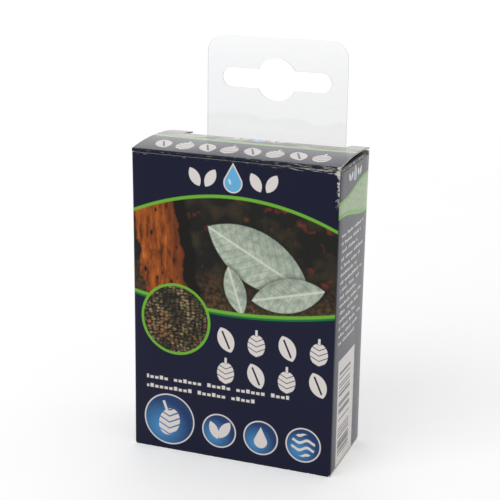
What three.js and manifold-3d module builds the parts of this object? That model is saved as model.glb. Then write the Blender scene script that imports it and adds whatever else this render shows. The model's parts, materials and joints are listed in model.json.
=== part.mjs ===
// A small folding carton with a clear hang tab, closed and standing, filled with loose alder cones.
// Millimetres, +Z up. The front faces -Y. The origin is the middle of the bottom face.

import * as THREE from "three";
import { mergeVertices } from "three/addons/utils/BufferGeometryUtils.js";
import Module from "manifold-3d";

const wasm = await Module();
wasm.setup();

// Carton: outside size, board, and the running clearances between its panels
const WIDTH = 59;
const DEPTH = 27.3;
const HEIGHT = 86.8;
const BOARD = 0.5;
const PANEL_GAP = 0.3;
const CREASE_GAP = 0.15;
const WALL_CORNER = 0.7;

// Lid: how far the closed panel bows up, how it rolls over into the tuck flap, and its slit lock
const LID_BOW = 1.0;
const LID_SIDE_GAP = 0.1;
const ROLL_DROP = 0.5;
const ROLL_RADIUS = 1.5;
const ROLL_GAP = 0.25;
const BEND_LENGTH = 6;
const TUCK_LENGTH = 10;
const TUCK_SIDE_GAP = 1.3;
const TUCK_CORNER = 6;
const EAR_WIDTH = 5.8;
const SLIT_DEPTH = 1.1;

// Dust flaps: reach from the side wall, and the edges cut back to let the lid and its tuck pass
const FLAP_REACH = 19;
const FLAP_FRONT_GAP = 0.8;
const FLAP_FRONT_TAPER = 0.34;
const FLAP_REAR_GAP = 3.5;
const FLAP_REAR_CUT = 5;

// Bottom end and glued seam
const BOTTOM_FLAP_REACH = 20;
const SEAM_WIDTH = 10;
const SEAM_TAPER = 3;
const SEAM_FOOT = 2;
const SEAM_HEAD = 72;

// Hang tab and its adhesive
const TAB_WIDTH = 41.2;
const TAB_OFFSET = 1.95;
const TAB_TOP = 115;
const TAB_FOOT = 66;
const TAB_CORNER = 5;
const TAB_THICKNESS = 0.4;
const SLOT_HEIGHT_ABOVE_BOTTOM = 103.3;
const SLOT_WIDTH = 32;
const SLOT_HEIGHT = 5.5;
const SLOT_ROUND = 12;
const ADHESIVE_THICKNESS = 0.15;
const ADHESIVE_HEIGHT = 18;
const ADHESIVE_INSET = 1.5;

// Alder cones: a typical cone, and how they are dropped into the carton
const CONE_COUNT = 50;
const CONE_LENGTH = 15.5;
const CONE_WIDTH = 10.2;
const CONE_SIZE_SPREAD = 0.1;
const CONE_SIDES = 8;
const CONE_SCALE_ROWS = 6;
const CONE_SCALE_DIP = 0.22;
const CONE_TIP_TAPER = 0.16;
const STALK_RADIUS = 0.8;
const STALK_LENGTH = 2.2;
const STALK_ROOT = 0.99;
const CONE_CLEARANCE = 0.3;
const CONE_TILT = 0.45;
const CONE_TRIES = 1500;
const CONE_SEED = 11;

const WALL_LINE = { x: WIDTH / 2 - BOARD, y: DEPTH / 2 - BOARD };
const LID_UNDER = HEIGHT - BOARD;
const FLAP_TOP = LID_UNDER - PANEL_GAP;
const FLAP_UNDER = FLAP_TOP - BOARD;
const CREASE_STEPS = 4;
const BOW_STEPS = 6;
const BEND_STEPS = 3;
const ROLL_CENTRE = { y: WALL_LINE.y - ROLL_GAP - ROLL_RADIUS, z: HEIGHT - ROLL_DROP - ROLL_RADIUS };

const boardPrint = new THREE.MeshStandardMaterial({ color: 0x22283a, roughness: 0.35, metalness: 0 });
const boardLid = new THREE.MeshStandardMaterial({ color: 0x7d7f93, roughness: 0.35, metalness: 0 });
const boardInside = new THREE.MeshStandardMaterial({ color: 0xd9d5cb, roughness: 0.85, metalness: 0 });
const clearFilm = new THREE.MeshStandardMaterial({
  color: 0xeff1f3,
  roughness: 0.1,
  metalness: 0,
  transparent: true,
  opacity: 0.3,
});
const adhesive = new THREE.MeshStandardMaterial({ color: 0xe4e6e4, roughness: 0.4, metalness: 0 });
const coneScale = new THREE.MeshStandardMaterial({ color: 0x3b2a1e, roughness: 0.9, metalness: 0 });

// Directions that a flat outline is extruded in
const ALONG_X = new THREE.Matrix4().makeBasis(
  new THREE.Vector3(0, 1, 0),
  new THREE.Vector3(0, 0, 1),
  new THREE.Vector3(1, 0, 0),
);
const ALONG_MINUS_Y = new THREE.Matrix4().makeBasis(
  new THREE.Vector3(1, 0, 0),
  new THREE.Vector3(0, 0, 1),
  new THREE.Vector3(0, -1, 0),
);

// Extrudes an outline from one level to another along its own normal
function plate(outline, from, to) {
  const geometry = new THREE.ExtrudeGeometry(outline, {
    depth: to - from,
    bevelEnabled: false,
    curveSegments: CREASE_STEPS,
  });
  return geometry.translate(0, 0, from);
}

function box(x0, x1, y0, y1, z0, z1) {
  const geometry = new THREE.BoxGeometry(x1 - x0, y1 - y0, z1 - z0);
  return geometry.translate((x0 + x1) / 2, (y0 + y1) / 2, (z0 + z1) / 2);
}

function solid(geometry) {
  const bare = geometry.clone();
  bare.deleteAttribute("normal");
  bare.deleteAttribute("uv");
  const merged = mergeVertices(bare);
  const vertProperties = new Float32Array(merged.attributes.position.array);
  const triVerts = new Uint32Array(merged.index.array);
  return new wasm.Manifold(new wasm.Mesh({ numProp: 3, vertProperties, triVerts }));
}

function geometryOf(body) {
  const { vertProperties, triVerts } = body.getMesh();
  const geometry = new THREE.BufferGeometry();
  geometry.setAttribute("position", new THREE.BufferAttribute(new Float32Array(vertProperties), 3));
  geometry.setIndex(new THREE.BufferAttribute(new Uint32Array(triVerts), 1));
  geometry.computeVertexNormals();
  return geometry;
}

function named(name, geometry, material) {
  const mesh = new THREE.Mesh(geometry, material);
  mesh.name = name;
  return mesh;
}

// A rectangle with round corners, centred on (centreX, centreY)
function roundedRectangle(centreX, centreY, width, height, radius) {
  const left = centreX - width / 2;
  const right = centreX + width / 2;
  const low = centreY - height / 2;
  const high = centreY + height / 2;
  const outline = new THREE.Shape();
  outline.moveTo(left + radius, low);
  outline.lineTo(right - radius, low);
  outline.absarc(right - radius, low + radius, radius, -Math.PI / 2, 0);
  outline.lineTo(right, high - radius);
  outline.absarc(right - radius, high - radius, radius, 0, Math.PI / 2);
  outline.lineTo(left + radius, high);
  outline.absarc(left + radius, high - radius, radius, Math.PI / 2, Math.PI);
  outline.lineTo(left, low + radius);
  outline.absarc(left + radius, low + radius, radius, Math.PI, Math.PI * 1.5);
  return outline;
}

// The four walls, cut down at the front and sides to meet the creases of the lid and the dust flaps
function walls() {
  const tube = roundedRectangle(0, 0, WIDTH, DEPTH, WALL_CORNER);
  tube.holes.push(roundedRectangle(0, 0, WALL_LINE.x * 2, WALL_LINE.y * 2, WALL_CORNER - BOARD));
  const frontTop = LID_UNDER - BOARD - CREASE_GAP;
  const sideTop = FLAP_UNDER - BOARD - CREASE_GAP;
  const sideCut = WALL_LINE.y - PANEL_GAP;
  let body = solid(plate(tube, 0, FLAP_TOP));
  body = body.subtract(solid(box(-WIDTH, WIDTH, -DEPTH, -sideCut, frontTop, HEIGHT)));
  body = body.subtract(solid(box(-WIDTH, -WALL_LINE.x + CREASE_GAP, -sideCut, sideCut, sideTop, HEIGHT)));
  return body.subtract(solid(box(WALL_LINE.x - CREASE_GAP, WIDTH, -sideCut, sideCut, sideTop, HEIGHT)));
}

// The bottom end: the outer flap, the inner flap on it, and the two side flaps on top, all glued
function bottomEnd() {
  const x = WIDTH / 2 - BOARD / 2;
  const y = DEPTH / 2 - BOARD / 2;
  const outer = solid(box(-x, x, -y, y, 0, BOARD));
  const inner = solid(box(-x, x, -y, y, BOARD, 2 * BOARD));
  const left = solid(box(-x, -WIDTH / 2 + BOTTOM_FLAP_REACH, -y, y, 2 * BOARD, 3 * BOARD));
  const right = solid(box(WIDTH / 2 - BOTTOM_FLAP_REACH, x, -y, y, 2 * BOARD, 3 * BOARD));
  return outer.add(inner).add(left).add(right);
}

// The glued seam: a tapered strip inside the rear wall, beside the right corner
function seamStrip() {
  const outer = WALL_LINE.x + BOARD / 2;
  const inner = outer - SEAM_WIDTH;
  const outline = new THREE.Shape();
  outline.moveTo(outer, SEAM_FOOT);
  outline.lineTo(outer, SEAM_HEAD);
  outline.lineTo(inner, SEAM_HEAD - SEAM_TAPER);
  outline.lineTo(inner, SEAM_FOOT + SEAM_TAPER);
  const strip = plate(outline, -WALL_LINE.y - BOARD / 2, -WALL_LINE.y + BOARD);
  return solid(strip.applyMatrix4(ALONG_MINUS_Y));
}

function cartonBody() {
  return geometryOf(walls().add(bottomEnd()).add(seamStrip()));
}

// Height of the lid's top face over its edges, at a place between the front crease and the rear edge
function bowAt(y) {
  const share = (y + WALL_LINE.y) / (DEPTH / 2 + WALL_LINE.y);
  return 4 * LID_BOW * share * (1 - share);
}

// Side view of a lid panel: the round crease at its front, the bowed part that the middle and the ears
// share, and a part that sinks by drop on its way to rear, from whose underside finish goes on
function panelOutline(rear, drop, finish) {
  const front = -WALL_LINE.y;
  const bend = ROLL_CENTRE.y - BEND_LENGTH;
  const places = [];
  for (let step = 1; step <= BOW_STEPS; step += 1) {
    const y = front + ((bend - front) * step) / BOW_STEPS;
    places.push({ y, lift: bowAt(y) });
  }
  for (let step = 1; step <= BEND_STEPS; step += 1) {
    const share = step / BEND_STEPS;
    const y = bend + (rear - bend) * share;
    places.push({ y, lift: bowAt(y) - drop * share * share });
  }
  const outline = new THREE.Shape();
  outline.moveTo(front, HEIGHT);
  outline.absarc(front, LID_UNDER, BOARD, Math.PI / 2, Math.PI * 2);
  for (const { y, lift } of places) outline.lineTo(y, LID_UNDER + lift);
  finish(outline);
  for (const { y, lift } of places.reverse()) outline.lineTo(y, HEIGHT + lift);
  return outline;
}

// The middle of the lid: the panel sinks to the rear, rolls over and runs down into the tuck flap,
// which leans in so that its tip swings clear of the rear wall as the lid turns
function tuckOutline() {
  const { y, z } = ROLL_CENTRE;
  const inner = ROLL_RADIUS - BOARD;
  const lean = Math.asin((TUCK_LENGTH / 2 + ROLL_RADIUS) / (y + ROLL_RADIUS + WALL_LINE.y));
  const down = { y: -Math.sin(lean) * TUCK_LENGTH, z: -Math.cos(lean) * TUCK_LENGTH };
  const side = { y: Math.cos(lean), z: -Math.sin(lean) };
  return panelOutline(y, ROLL_DROP + bowAt(y), (outline) => {
    outline.absarc(y, z, inner, Math.PI / 2, -lean, true);
    outline.lineTo(y + inner * side.y + down.y, z + inner * side.z + down.z);
    outline.lineTo(y + ROLL_RADIUS * side.y + down.y, z + ROLL_RADIUS * side.z + down.z);
    outline.absarc(y, z, ROLL_RADIUS, -lean, Math.PI / 2, false);
  });
}

// The two ends of the lid, which stay flat past the slits and lie on the rear wall
function earOutline() {
  return panelOutline(DEPTH / 2, 0, () => {});
}

// What is cut off the lower corners of the tuck flap to make them round
function tuckCorner(side) {
  const edge = WIDTH / 2 - TUCK_SIDE_GAP;
  const low = ROLL_CENTRE.z - TUCK_LENGTH - BOARD;
  const outline = new THREE.Shape();
  outline.moveTo(side * (edge - TUCK_CORNER), low);
  outline.lineTo(side * (edge + BOARD), low);
  outline.lineTo(side * (edge + BOARD), low + TUCK_CORNER);
  outline.lineTo(side * edge, low + TUCK_CORNER);
  outline.quadraticCurveTo(side * edge, low + BOARD, side * (edge - TUCK_CORNER), low + BOARD);
  const geometry = plate(outline, -DEPTH / 2, 0);
  return solid(geometry.applyMatrix4(ALONG_MINUS_Y));
}

function lid() {
  const half = WIDTH / 2 - LID_SIDE_GAP;
  const slitEnd = WIDTH / 2 - EAR_WIDTH;
  const tuckHalf = WIDTH / 2 - TUCK_SIDE_GAP;
  const shoulder = ROLL_CENTRE.z - SLIT_DEPTH;
  const between = (side, from, to) => (side > 0 ? [from, to] : [-to, -from]);
  let body = solid(plate(tuckOutline(), -tuckHalf, tuckHalf).applyMatrix4(ALONG_X));
  for (const side of [-1, 1]) {
    const ear = plate(earOutline(), ...between(side, slitEnd, half)).applyMatrix4(ALONG_X);
    const aboveShoulder = box(...between(side, slitEnd, WIDTH), -DEPTH, DEPTH, shoulder, HEIGHT * 2);
    body = body.subtract(solid(aboveShoulder)).subtract(tuckCorner(side)).add(solid(ear));
  }
  return geometryOf(body);
}

// A dust flap: a flat panel with the round crease on its side wall, trimmed to its outline from above
function dustFlap(side) {
  const rim = WALL_LINE.x;
  const tip = rim - FLAP_REACH;
  const section = new THREE.Shape();
  section.moveTo(side * rim, FLAP_TOP);
  section.lineTo(side * tip, FLAP_TOP);
  section.lineTo(side * tip, FLAP_UNDER);
  section.lineTo(side * (rim - BOARD), FLAP_UNDER);
  if (side > 0) section.absarc(rim, FLAP_UNDER, BOARD, Math.PI, Math.PI * 2.5);
  else section.absarc(-rim, FLAP_UNDER, BOARD, 0, -Math.PI * 1.5, true);
  const sheet = plate(section, -DEPTH / 2, DEPTH / 2).applyMatrix4(ALONG_MINUS_Y);

  const front = -WALL_LINE.y + FLAP_FRONT_GAP;
  const rear = WALL_LINE.y - FLAP_REAR_GAP;
  const outline = new THREE.Shape();
  outline.moveTo(side * WIDTH, front);
  outline.lineTo(side * rim, front);
  outline.lineTo(side * tip, front + FLAP_FRONT_TAPER * FLAP_REACH);
  outline.lineTo(side * tip, rear - FLAP_REAR_CUT);
  outline.lineTo(side * (tip + FLAP_REAR_CUT), rear);
  outline.lineTo(side * WIDTH, rear);
  return geometryOf(solid(sheet).intersect(solid(plate(outline, 0, HEIGHT * 2))));
}

// The hanging slot: a long slot with round ends and a larger round opening in its middle
function slotPath() {
  const z = SLOT_HEIGHT_ABOVE_BOTTOM;
  const end = SLOT_HEIGHT / 2;
  const reach = SLOT_WIDTH / 2 - end;
  const round = SLOT_ROUND / 2;
  const shoulder = Math.asin(end / round);
  const path = new THREE.Path();
  path.absarc(TAB_OFFSET + reach, z, end, -Math.PI / 2, Math.PI / 2);
  path.absarc(TAB_OFFSET, z, round, shoulder, Math.PI - shoulder);
  path.absarc(TAB_OFFSET - reach, z, end, Math.PI / 2, Math.PI * 1.5);
  path.absarc(TAB_OFFSET, z, round, Math.PI + shoulder, Math.PI * 2 - shoulder);
  path.closePath();
  return path;
}

const ADHESIVE_BACK = DEPTH / 2 + ADHESIVE_THICKNESS;

function hangTab() {
  const middle = (TAB_TOP + TAB_FOOT) / 2;
  const outline = roundedRectangle(TAB_OFFSET, middle, TAB_WIDTH, TAB_TOP - TAB_FOOT, TAB_CORNER);
  outline.holes.push(slotPath());
  const geometry = new THREE.ExtrudeGeometry(outline, {
    depth: TAB_THICKNESS,
    bevelEnabled: false,
    curveSegments: 8,
  });
  return geometry.applyMatrix4(ALONG_MINUS_Y).translate(0, ADHESIVE_BACK + TAB_THICKNESS, 0);
}

function tabAdhesive() {
  const half = TAB_WIDTH / 2 - ADHESIVE_INSET;
  const low = TAB_FOOT + ADHESIVE_INSET;
  return box(TAB_OFFSET - half, TAB_OFFSET + half, DEPTH / 2, ADHESIVE_BACK, low, low + ADHESIVE_HEIGHT);
}

// A cone stands along Y: a short stalk that ends at the share STALK_ROOT of the half length, then an egg
// whose rows of scales are raised one vertex in two, each row half a step round from the one below
function coneGeometry(length, width) {
  const half = length / 2;
  const profile = [new THREE.Vector2(0, -half - STALK_LENGTH)];
  profile.push(new THREE.Vector2(STALK_RADIUS, -half - STALK_LENGTH));
  profile.push(new THREE.Vector2(STALK_RADIUS, -half * STALK_ROOT));
  for (let row = 1; row <= CONE_SCALE_ROWS; row += 1) {
    const along = -Math.cos((Math.PI * row) / (CONE_SCALE_ROWS + 1));
    const round = Math.sqrt(1 - along * along) * (1 - (CONE_TIP_TAPER * (1 + along)) / 2);
    profile.push(new THREE.Vector2((round * width) / 2, along * half));
  }
  profile.push(new THREE.Vector2(0, half));
  const geometry = new THREE.LatheGeometry(profile, CONE_SIDES);
  const position = geometry.attributes.position;
  for (let index = 0; index < position.count; index += 1) {
    const row = index % profile.length;
    const side = Math.floor(index / profile.length);
    const isScale = row > 2 && row < profile.length - 1;
    const shrink = isScale && (row + side) % 2 === 0 ? 1 - CONE_SCALE_DIP : 1;
    position.setX(index, position.getX(index) * shrink);
    position.setZ(index, position.getZ(index) * shrink);
  }
  geometry.deleteAttribute("normal");
  geometry.deleteAttribute("uv");
  return mergeVertices(geometry);
}

// Balls strung along a cone's axis whose common outside is the egg, with one more on the stalk
function coneBalls(length, width) {
  const half = length / 2;
  const radius = width / 2;
  const focus = half * half - radius * radius;
  const reach = focus / half;
  const balls = [{ along: -half - STALK_LENGTH + STALK_RADIUS, radius: STALK_RADIUS }];
  for (const share of [-1, -0.5, 0, 0.5, 1]) {
    const along = share * reach;
    balls.push({ along, radius: radius * Math.sqrt(1 - (along * along) / focus) });
  }
  return balls.map((ball) => ({ along: ball.along, radius: ball.radius + CONE_CLEARANCE / 2 }));
}

// A seeded draw from 0 to 1, so that the heap is the same every time
function seededDraw(seed) {
  let state = seed;
  return () => {
    state = (state + 0x6d2b79f5) | 0;
    let mixed = Math.imul(state ^ (state >>> 15), 1 | state);
    mixed = (mixed + Math.imul(mixed ^ (mixed >>> 7), 61 | mixed)) ^ mixed;
    return ((mixed ^ (mixed >>> 14)) >>> 0) / 4294967296;
  };
}

// The height at which a cone's balls come to rest on the carton's floor and on the balls below them
function restHeight(balls, heap) {
  let height = 0;
  for (const ball of balls) {
    const onFlap = Math.abs(ball.x) + ball.radius > WIDTH / 2 - BOTTOM_FLAP_REACH;
    height = Math.max(height, (onFlap ? 3 : 2) * BOARD + ball.radius - ball.z);
    for (const other of heap) {
      const reach = ball.radius + other.radius;
      const level = reach * reach - (ball.x - other.x) ** 2 - (ball.y - other.y) ** 2;
      if (level > 0) height = Math.max(height, other.z + Math.sqrt(level) - ball.z);
    }
  }
  return height;
}

// One way for a cone to fall: turned at random, moved at random within the walls, dropped straight down
function dropCone(shape, heap, draw) {
  const heading = draw() * Math.PI * 2;
  const tilt = (draw() * 2 - 1) * CONE_TILT;
  const axis = new THREE.Vector3(
    Math.cos(tilt) * Math.cos(heading),
    Math.cos(tilt) * Math.sin(heading),
    Math.sin(tilt),
  );
  const room = (across, limit) => {
    const ends = shape.map((ball) => Math.abs(ball.along * axis[across]) + ball.radius);
    return Math.max(0, limit - Math.max(...ends));
  };
  const x = (draw() * 2 - 1) * room("x", WALL_LINE.x);
  const y = (draw() * 2 - 1) * room("y", WALL_LINE.y - BOARD) - BOARD / 2;
  const balls = shape.map((ball) => ({
    x: x + ball.along * axis.x,
    y: y + ball.along * axis.y,
    z: ball.along * axis.z,
    radius: ball.radius,
  }));
  const z = restHeight(balls, heap);
  for (const ball of balls) ball.z += z;
  return { axis, balls, place: new THREE.Vector3(x, y, z) };
}

// A cone's corners and the middles of its edges, where it lies
function probePoints(cone) {
  const { index } = cone.geometry;
  const corners = Array.from(index.array, (corner) =>
    new THREE.Vector3().fromBufferAttribute(cone.geometry.attributes.position, corner),
  );
  const points = new Map();
  for (let at = 0; at < corners.length; at += 1) {
    const next = at % 3 === 2 ? at - 2 : at + 1;
    points.set(`${index.array[at]}`, corners[at]);
    const edge = [index.array[at], index.array[next]].sort((low, high) => low - high);
    points.set(edge.join(), corners[at].clone().lerp(corners[next], 0.5));
  }
  return [...points.values()].map((point) => cone.localToWorld(point.clone()));
}

// How far a cone can sink before it meets the floor or a cone below, felt at the probe points of both
function sinkRoom(cone, points, heap) {
  const near = heap.filter(({ mesh }) => mesh.position.distanceTo(cone.position) < CONE_LENGTH * 2);
  const caster = new THREE.Raycaster();
  const floor = Math.min(...points.map((point) => point.z)) - 3 * BOARD;
  let room = floor;
  const feel = (origins, direction, targets) => {
    for (const origin of origins) {
      caster.set(origin, direction);
      const [hit] = caster.intersectObjects(targets, false);
      if (hit) room = Math.min(room, hit.distance);
    }
  };
  feel(points, new THREE.Vector3(0, 0, -1), near.map(({ mesh }) => mesh));
  for (const other of near) feel(other.points, new THREE.Vector3(0, 0, 1), [cone]);
  return room;
}

// Drops the cones one by one: of many tries for each, the one whose balls come to rest lowest stays,
// and then the cone itself sinks until it almost touches
function coneHeap() {
  const draw = seededDraw(CONE_SEED);
  const balls = [];
  const heap = [];
  const group = new THREE.Group();
  for (let number = 1; number <= CONE_COUNT; number += 1) {
    const size = 1 + (draw() * 2 - 1) * CONE_SIZE_SPREAD;
    const length = CONE_LENGTH * size * (1 + (draw() * 2 - 1) * CONE_SIZE_SPREAD);
    const width = CONE_WIDTH * size;
    const shape = coneBalls(length, width);
    let best = dropCone(shape, balls, draw);
    for (let tries = 1; tries < CONE_TRIES; tries += 1) {
      const next = dropCone(shape, balls, draw);
      if (next.place.z < best.place.z) best = next;
    }
    const name = `alder_cone_${String(number).padStart(2, "0")}`;
    const mesh = named(name, coneGeometry(length, width), coneScale);
    mesh.quaternion.setFromUnitVectors(new THREE.Vector3(0, 1, 0), best.axis);
    mesh.position.copy(best.place);
    mesh.updateMatrixWorld();
    const sink = sinkRoom(mesh, probePoints(mesh), heap) - CONE_CLEARANCE;
    mesh.position.z -= sink;
    mesh.updateMatrixWorld();
    heap.push({ mesh, points: probePoints(mesh) });
    balls.push(...best.balls.map((ball) => ({ ...ball, z: ball.z - sink })));
    group.add(mesh);
  }
  return group;
}

const carton = new THREE.Group();
carton.add(named("carton_body", cartonBody(), boardPrint));
carton.add(named("lid", lid(), boardLid));
carton.add(named("dust_flap_left", dustFlap(-1), boardInside));
carton.add(named("dust_flap_right", dustFlap(1), boardInside));
carton.add(named("hang_tab", hangTab(), clearFilm));
carton.add(named("tab_adhesive", tabAdhesive(), adhesive));
carton.add(coneHeap());

export default carton;
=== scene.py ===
"""Looks of a small printed folding carton with a clear hang tab, filled with loose alder cones.

Lengths are millimetres up to the point where a mesh is finished, and metres in the scene. The front
of the carton faces -Y, its bottom rests on Z = 0.
"""

import json
import logging
import math
import random
from dataclasses import dataclass
from enum import Enum
from typing import Iterable, Sequence, Union

import bmesh
import bpy
from mathutils import Matrix, Vector


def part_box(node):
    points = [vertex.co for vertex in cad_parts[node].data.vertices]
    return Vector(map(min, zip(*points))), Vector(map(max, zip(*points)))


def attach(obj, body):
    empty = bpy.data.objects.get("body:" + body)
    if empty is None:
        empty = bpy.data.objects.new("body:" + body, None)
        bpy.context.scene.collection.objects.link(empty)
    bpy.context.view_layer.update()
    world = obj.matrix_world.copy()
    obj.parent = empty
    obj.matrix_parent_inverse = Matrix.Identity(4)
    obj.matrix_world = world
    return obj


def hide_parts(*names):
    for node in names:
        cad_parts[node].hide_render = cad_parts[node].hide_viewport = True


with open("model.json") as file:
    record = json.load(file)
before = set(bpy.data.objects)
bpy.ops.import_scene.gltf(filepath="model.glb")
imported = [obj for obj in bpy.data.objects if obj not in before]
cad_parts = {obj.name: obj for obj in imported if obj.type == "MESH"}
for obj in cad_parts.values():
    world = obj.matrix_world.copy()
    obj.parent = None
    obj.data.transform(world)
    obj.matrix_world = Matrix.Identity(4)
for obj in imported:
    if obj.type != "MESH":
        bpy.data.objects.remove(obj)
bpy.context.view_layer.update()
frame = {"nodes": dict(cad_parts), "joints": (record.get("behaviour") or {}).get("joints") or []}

MM = 0.001
CAD_BOARD = 0.5
MERGE_DISTANCE = 0.001
NEAR = 0.01
BOARD_SMOOTH = 35.0
FILM_SMOOTH = 40.0
log = logging.getLogger("carton")

Colour = tuple[float, float, float]
Point = tuple[float, float]
Term = Union["Wire", float]
Feed = Union["Wire", bpy.types.NodeSocket, float, Sequence[float]]


class Side(Enum):
    """A printed side of the carton: its name, and the axes that run right and up on it."""

    FRONT = ("front", (1, 0, 0), (0, 0, 1))
    BACK = ("back", (-1, 0, 0), (0, 0, 1))
    RIGHT = ("right", (0, 1, 0), (0, 0, 1))
    LEFT = ("left", (0, -1, 0), (0, 0, 1))
    LID = ("lid", (1, 0, 0), (0, 1, 0))
    BOTTOM = ("bottom", (1, 0, 0), (0, -1, 0))


@dataclass(frozen=True)
class Palette:
    """The colours of the inks and of the bare board, as scene-linear values."""

    navy: Colour = (0.0065, 0.0085, 0.030)
    deep_navy: Colour = (0.004, 0.006, 0.026)
    white: Colour = (0.72, 0.67, 0.64)
    mint: Colour = (0.30, 0.52, 0.26)
    leaf_green: Colour = (0.15, 0.42, 0.035)
    dark_green: Colour = (0.008, 0.16, 0.045)
    sky: Colour = (0.13, 0.42, 0.70)
    disc_dark: Colour = (0.018, 0.045, 0.14)
    disc_light: Colour = (0.07, 0.27, 0.55)
    shade: Colour = (0.010, 0.010, 0.008)
    bark: Colour = (0.42, 0.10, 0.012)
    bark_dark: Colour = (0.10, 0.022, 0.006)
    pale_leaf: Colour = (0.50, 0.56, 0.46)
    pale_vein: Colour = (0.24, 0.30, 0.24)
    rust: Colour = (0.16, 0.030, 0.014)
    cone_brown: Colour = (0.19, 0.14, 0.07)
    cone_shadow: Colour = (0.012, 0.011, 0.008)
    band_green: Colour = (0.30, 0.46, 0.20)
    soil: Colour = (0.05, 0.035, 0.018)
    litter_dark: Colour = (0.03, 0.014, 0.006)
    litter_pale: Colour = (0.20, 0.12, 0.055)
    bark_shadow: Colour = (0.006, 0.005, 0.004)
    bark_bright: Colour = (0.62, 0.26, 0.06)
    bark_pit: Colour = (0.016, 0.008, 0.004)
    leaf_rib: Colour = (0.66, 0.70, 0.58)
    leaf_shade: Colour = (0.10, 0.13, 0.10)
    leaf_shadow: Colour = (0.008, 0.008, 0.006)
    cone_bright: Colour = (0.33, 0.25, 0.13)
    cone_rust: Colour = (0.26, 0.10, 0.03)
    drop_shine: Colour = (0.45, 0.70, 0.88)
    band_fleck: Colour = (0.42, 0.45, 0.36)
    band_dark: Colour = (0.14, 0.22, 0.09)
    bar_ink: Colour = (0.012, 0.012, 0.014)
    lid_dark: Colour = (0.05, 0.035, 0.03)
    lid_tan: Colour = (0.26, 0.17, 0.10)
    lid_moss: Colour = (0.30, 0.34, 0.26)
    raw_fibre: Colour = (0.40, 0.39, 0.34)
    raw_board: Colour = (0.62, 0.60, 0.56)
    raw_edge: Colour = (0.60, 0.58, 0.51)
    edge_fleck: Colour = (0.24, 0.235, 0.22)
    inside: Colour = (0.66, 0.64, 0.60)
    inside_fleck: Colour = (0.50, 0.48, 0.44)


INK = Palette()


class Recipe:
    """One material and its node tree, built from expressions."""

    def __init__(self, name: str) -> None:
        """Starts an empty material.

        Args:
            name: the material's name.
        """
        self.material = bpy.data.materials.new(name)
        self.material.use_nodes = True
        self.tree = self.material.node_tree
        self.tree.nodes.clear()

    def node(self, kind: str, settings: dict, inputs: dict) -> bpy.types.Node:
        """Adds any node.

        Args:
            kind: the node's type, without its ShaderNode prefix.
            settings: properties of the node, set before its sockets are filled.
            inputs: socket name or number, and the value, Wire or socket that it gets.

        Returns:
            The node.
        """
        made = self.tree.nodes.new("ShaderNode" + kind)
        for key, value in settings.items():
            setattr(made, key, value)
        for key, value in inputs.items():
            self.feed(made.inputs[key], value)
        return made

    def feed(self, socket: bpy.types.NodeSocket, value: Feed) -> None:
        """Links a socket to a Wire or another socket, or sets its number.

        Args:
            socket: the socket to fill.
            value: what it gets.
        """
        if isinstance(value, Wire):
            self.tree.links.new(value.socket, socket)
        elif isinstance(value, bpy.types.NodeSocket):
            self.tree.links.new(value, socket)
        elif socket.type == "RGBA" and len(value) == 3:
            socket.default_value = (*value, 1.0)
        else:
            socket.default_value = value

    def vector(self, operation: str, *terms: Feed, out: str = "Vector") -> bpy.types.NodeSocket:
        """A Vector Math node's result.

        Args:
            operation: the node's operation.
            terms: its inputs in order; a number goes to the Scale socket.
            out: the output to return.

        Returns:
            That output.
        """
        made = self.node("VectorMath", {"operation": operation}, {})
        for place, term in enumerate(terms):
            key = "Scale" if isinstance(term, (int, float)) else place
            self.feed(made.inputs[key], term)
        return made.outputs[out]

    def mix(self, low: Feed, high: Feed, share: Feed) -> bpy.types.NodeSocket:
        """A colour between two others, by a share from 0 to 1."""
        made = self.node("Mix", {"data_type": "RGBA", "clamp_factor": True}, {0: share, 6: low, 7: high})
        return made.outputs[2]

    def noise(self, place: Feed, scale: float, detail: float = 2.0, rough: float = 0.5) -> "Wire":
        """Fractal noise from 0 to 1, with scale in features per unit of the place."""
        inputs = {"Vector": place, "Scale": scale, "Detail": detail, "Roughness": rough}
        return Wire(self, self.node("TexNoise", {}, inputs).outputs[0])

    def cells(self, place: Feed, scale: float, jitter: float = 1.0) -> tuple["Wire", bpy.types.NodeSocket]:
        """Distance to the nearest of a scatter of seeds, and that seed's own colour."""
        made = self.node("TexVoronoi", {}, {"Vector": place, "Scale": scale, "Randomness": jitter})
        return Wire(self, made.outputs["Distance"]), made.outputs["Color"]

    def combine(self, x: Term, y: Term) -> bpy.types.NodeSocket:
        """A flat vector made of two numbers or Wires."""
        return self.node("CombineXYZ", {}, {0: x, 1: y}).outputs[0]

    def place(self) -> bpy.types.NodeSocket:
        """Where a point lies on the object, in millimetres."""
        coordinates = self.node("TexCoord", {}, {}).outputs["Object"]
        return self.vector("SCALE", coordinates, 1.0 / MM)

    def along(self, vector: Feed, direction: Sequence[float]) -> "Wire":
        """How far a vector reaches along a direction."""
        return Wire(self, self.vector("DOT_PRODUCT", vector, tuple(direction), out="Value"))

    def split(self, vector: Feed) -> list["Wire"]:
        """A vector's three numbers."""
        made = self.node("SeparateXYZ", {}, {0: vector})
        return [Wire(self, out) for out in made.outputs]

    def bump(self, height: "Wire", strength: float, distance: float) -> bpy.types.NodeSocket:
        """A bumped normal, with the relief's height in metres as distance."""
        inputs = {"Height": height, "Strength": strength, "Distance": distance}
        return self.node("Bump", {}, inputs).outputs[0]

    def finish(self, **sockets: Feed) -> bpy.types.Material:
        """Ends the material in a Principled shader.

        Args:
            sockets: the shader's inputs, with _ for a space in a name.

        Returns:
            The material.
        """
        named = {key.replace("_", " "): value for key, value in sockets.items()}
        return self.close(self.node("BsdfPrincipled", {}, named))

    def close(self, shader: bpy.types.Node) -> bpy.types.Material:
        """Sends a shader to the material's output, and gives the material."""
        self.node("OutputMaterial", {}, {0: shader.outputs[0]})
        return self.material


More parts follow.
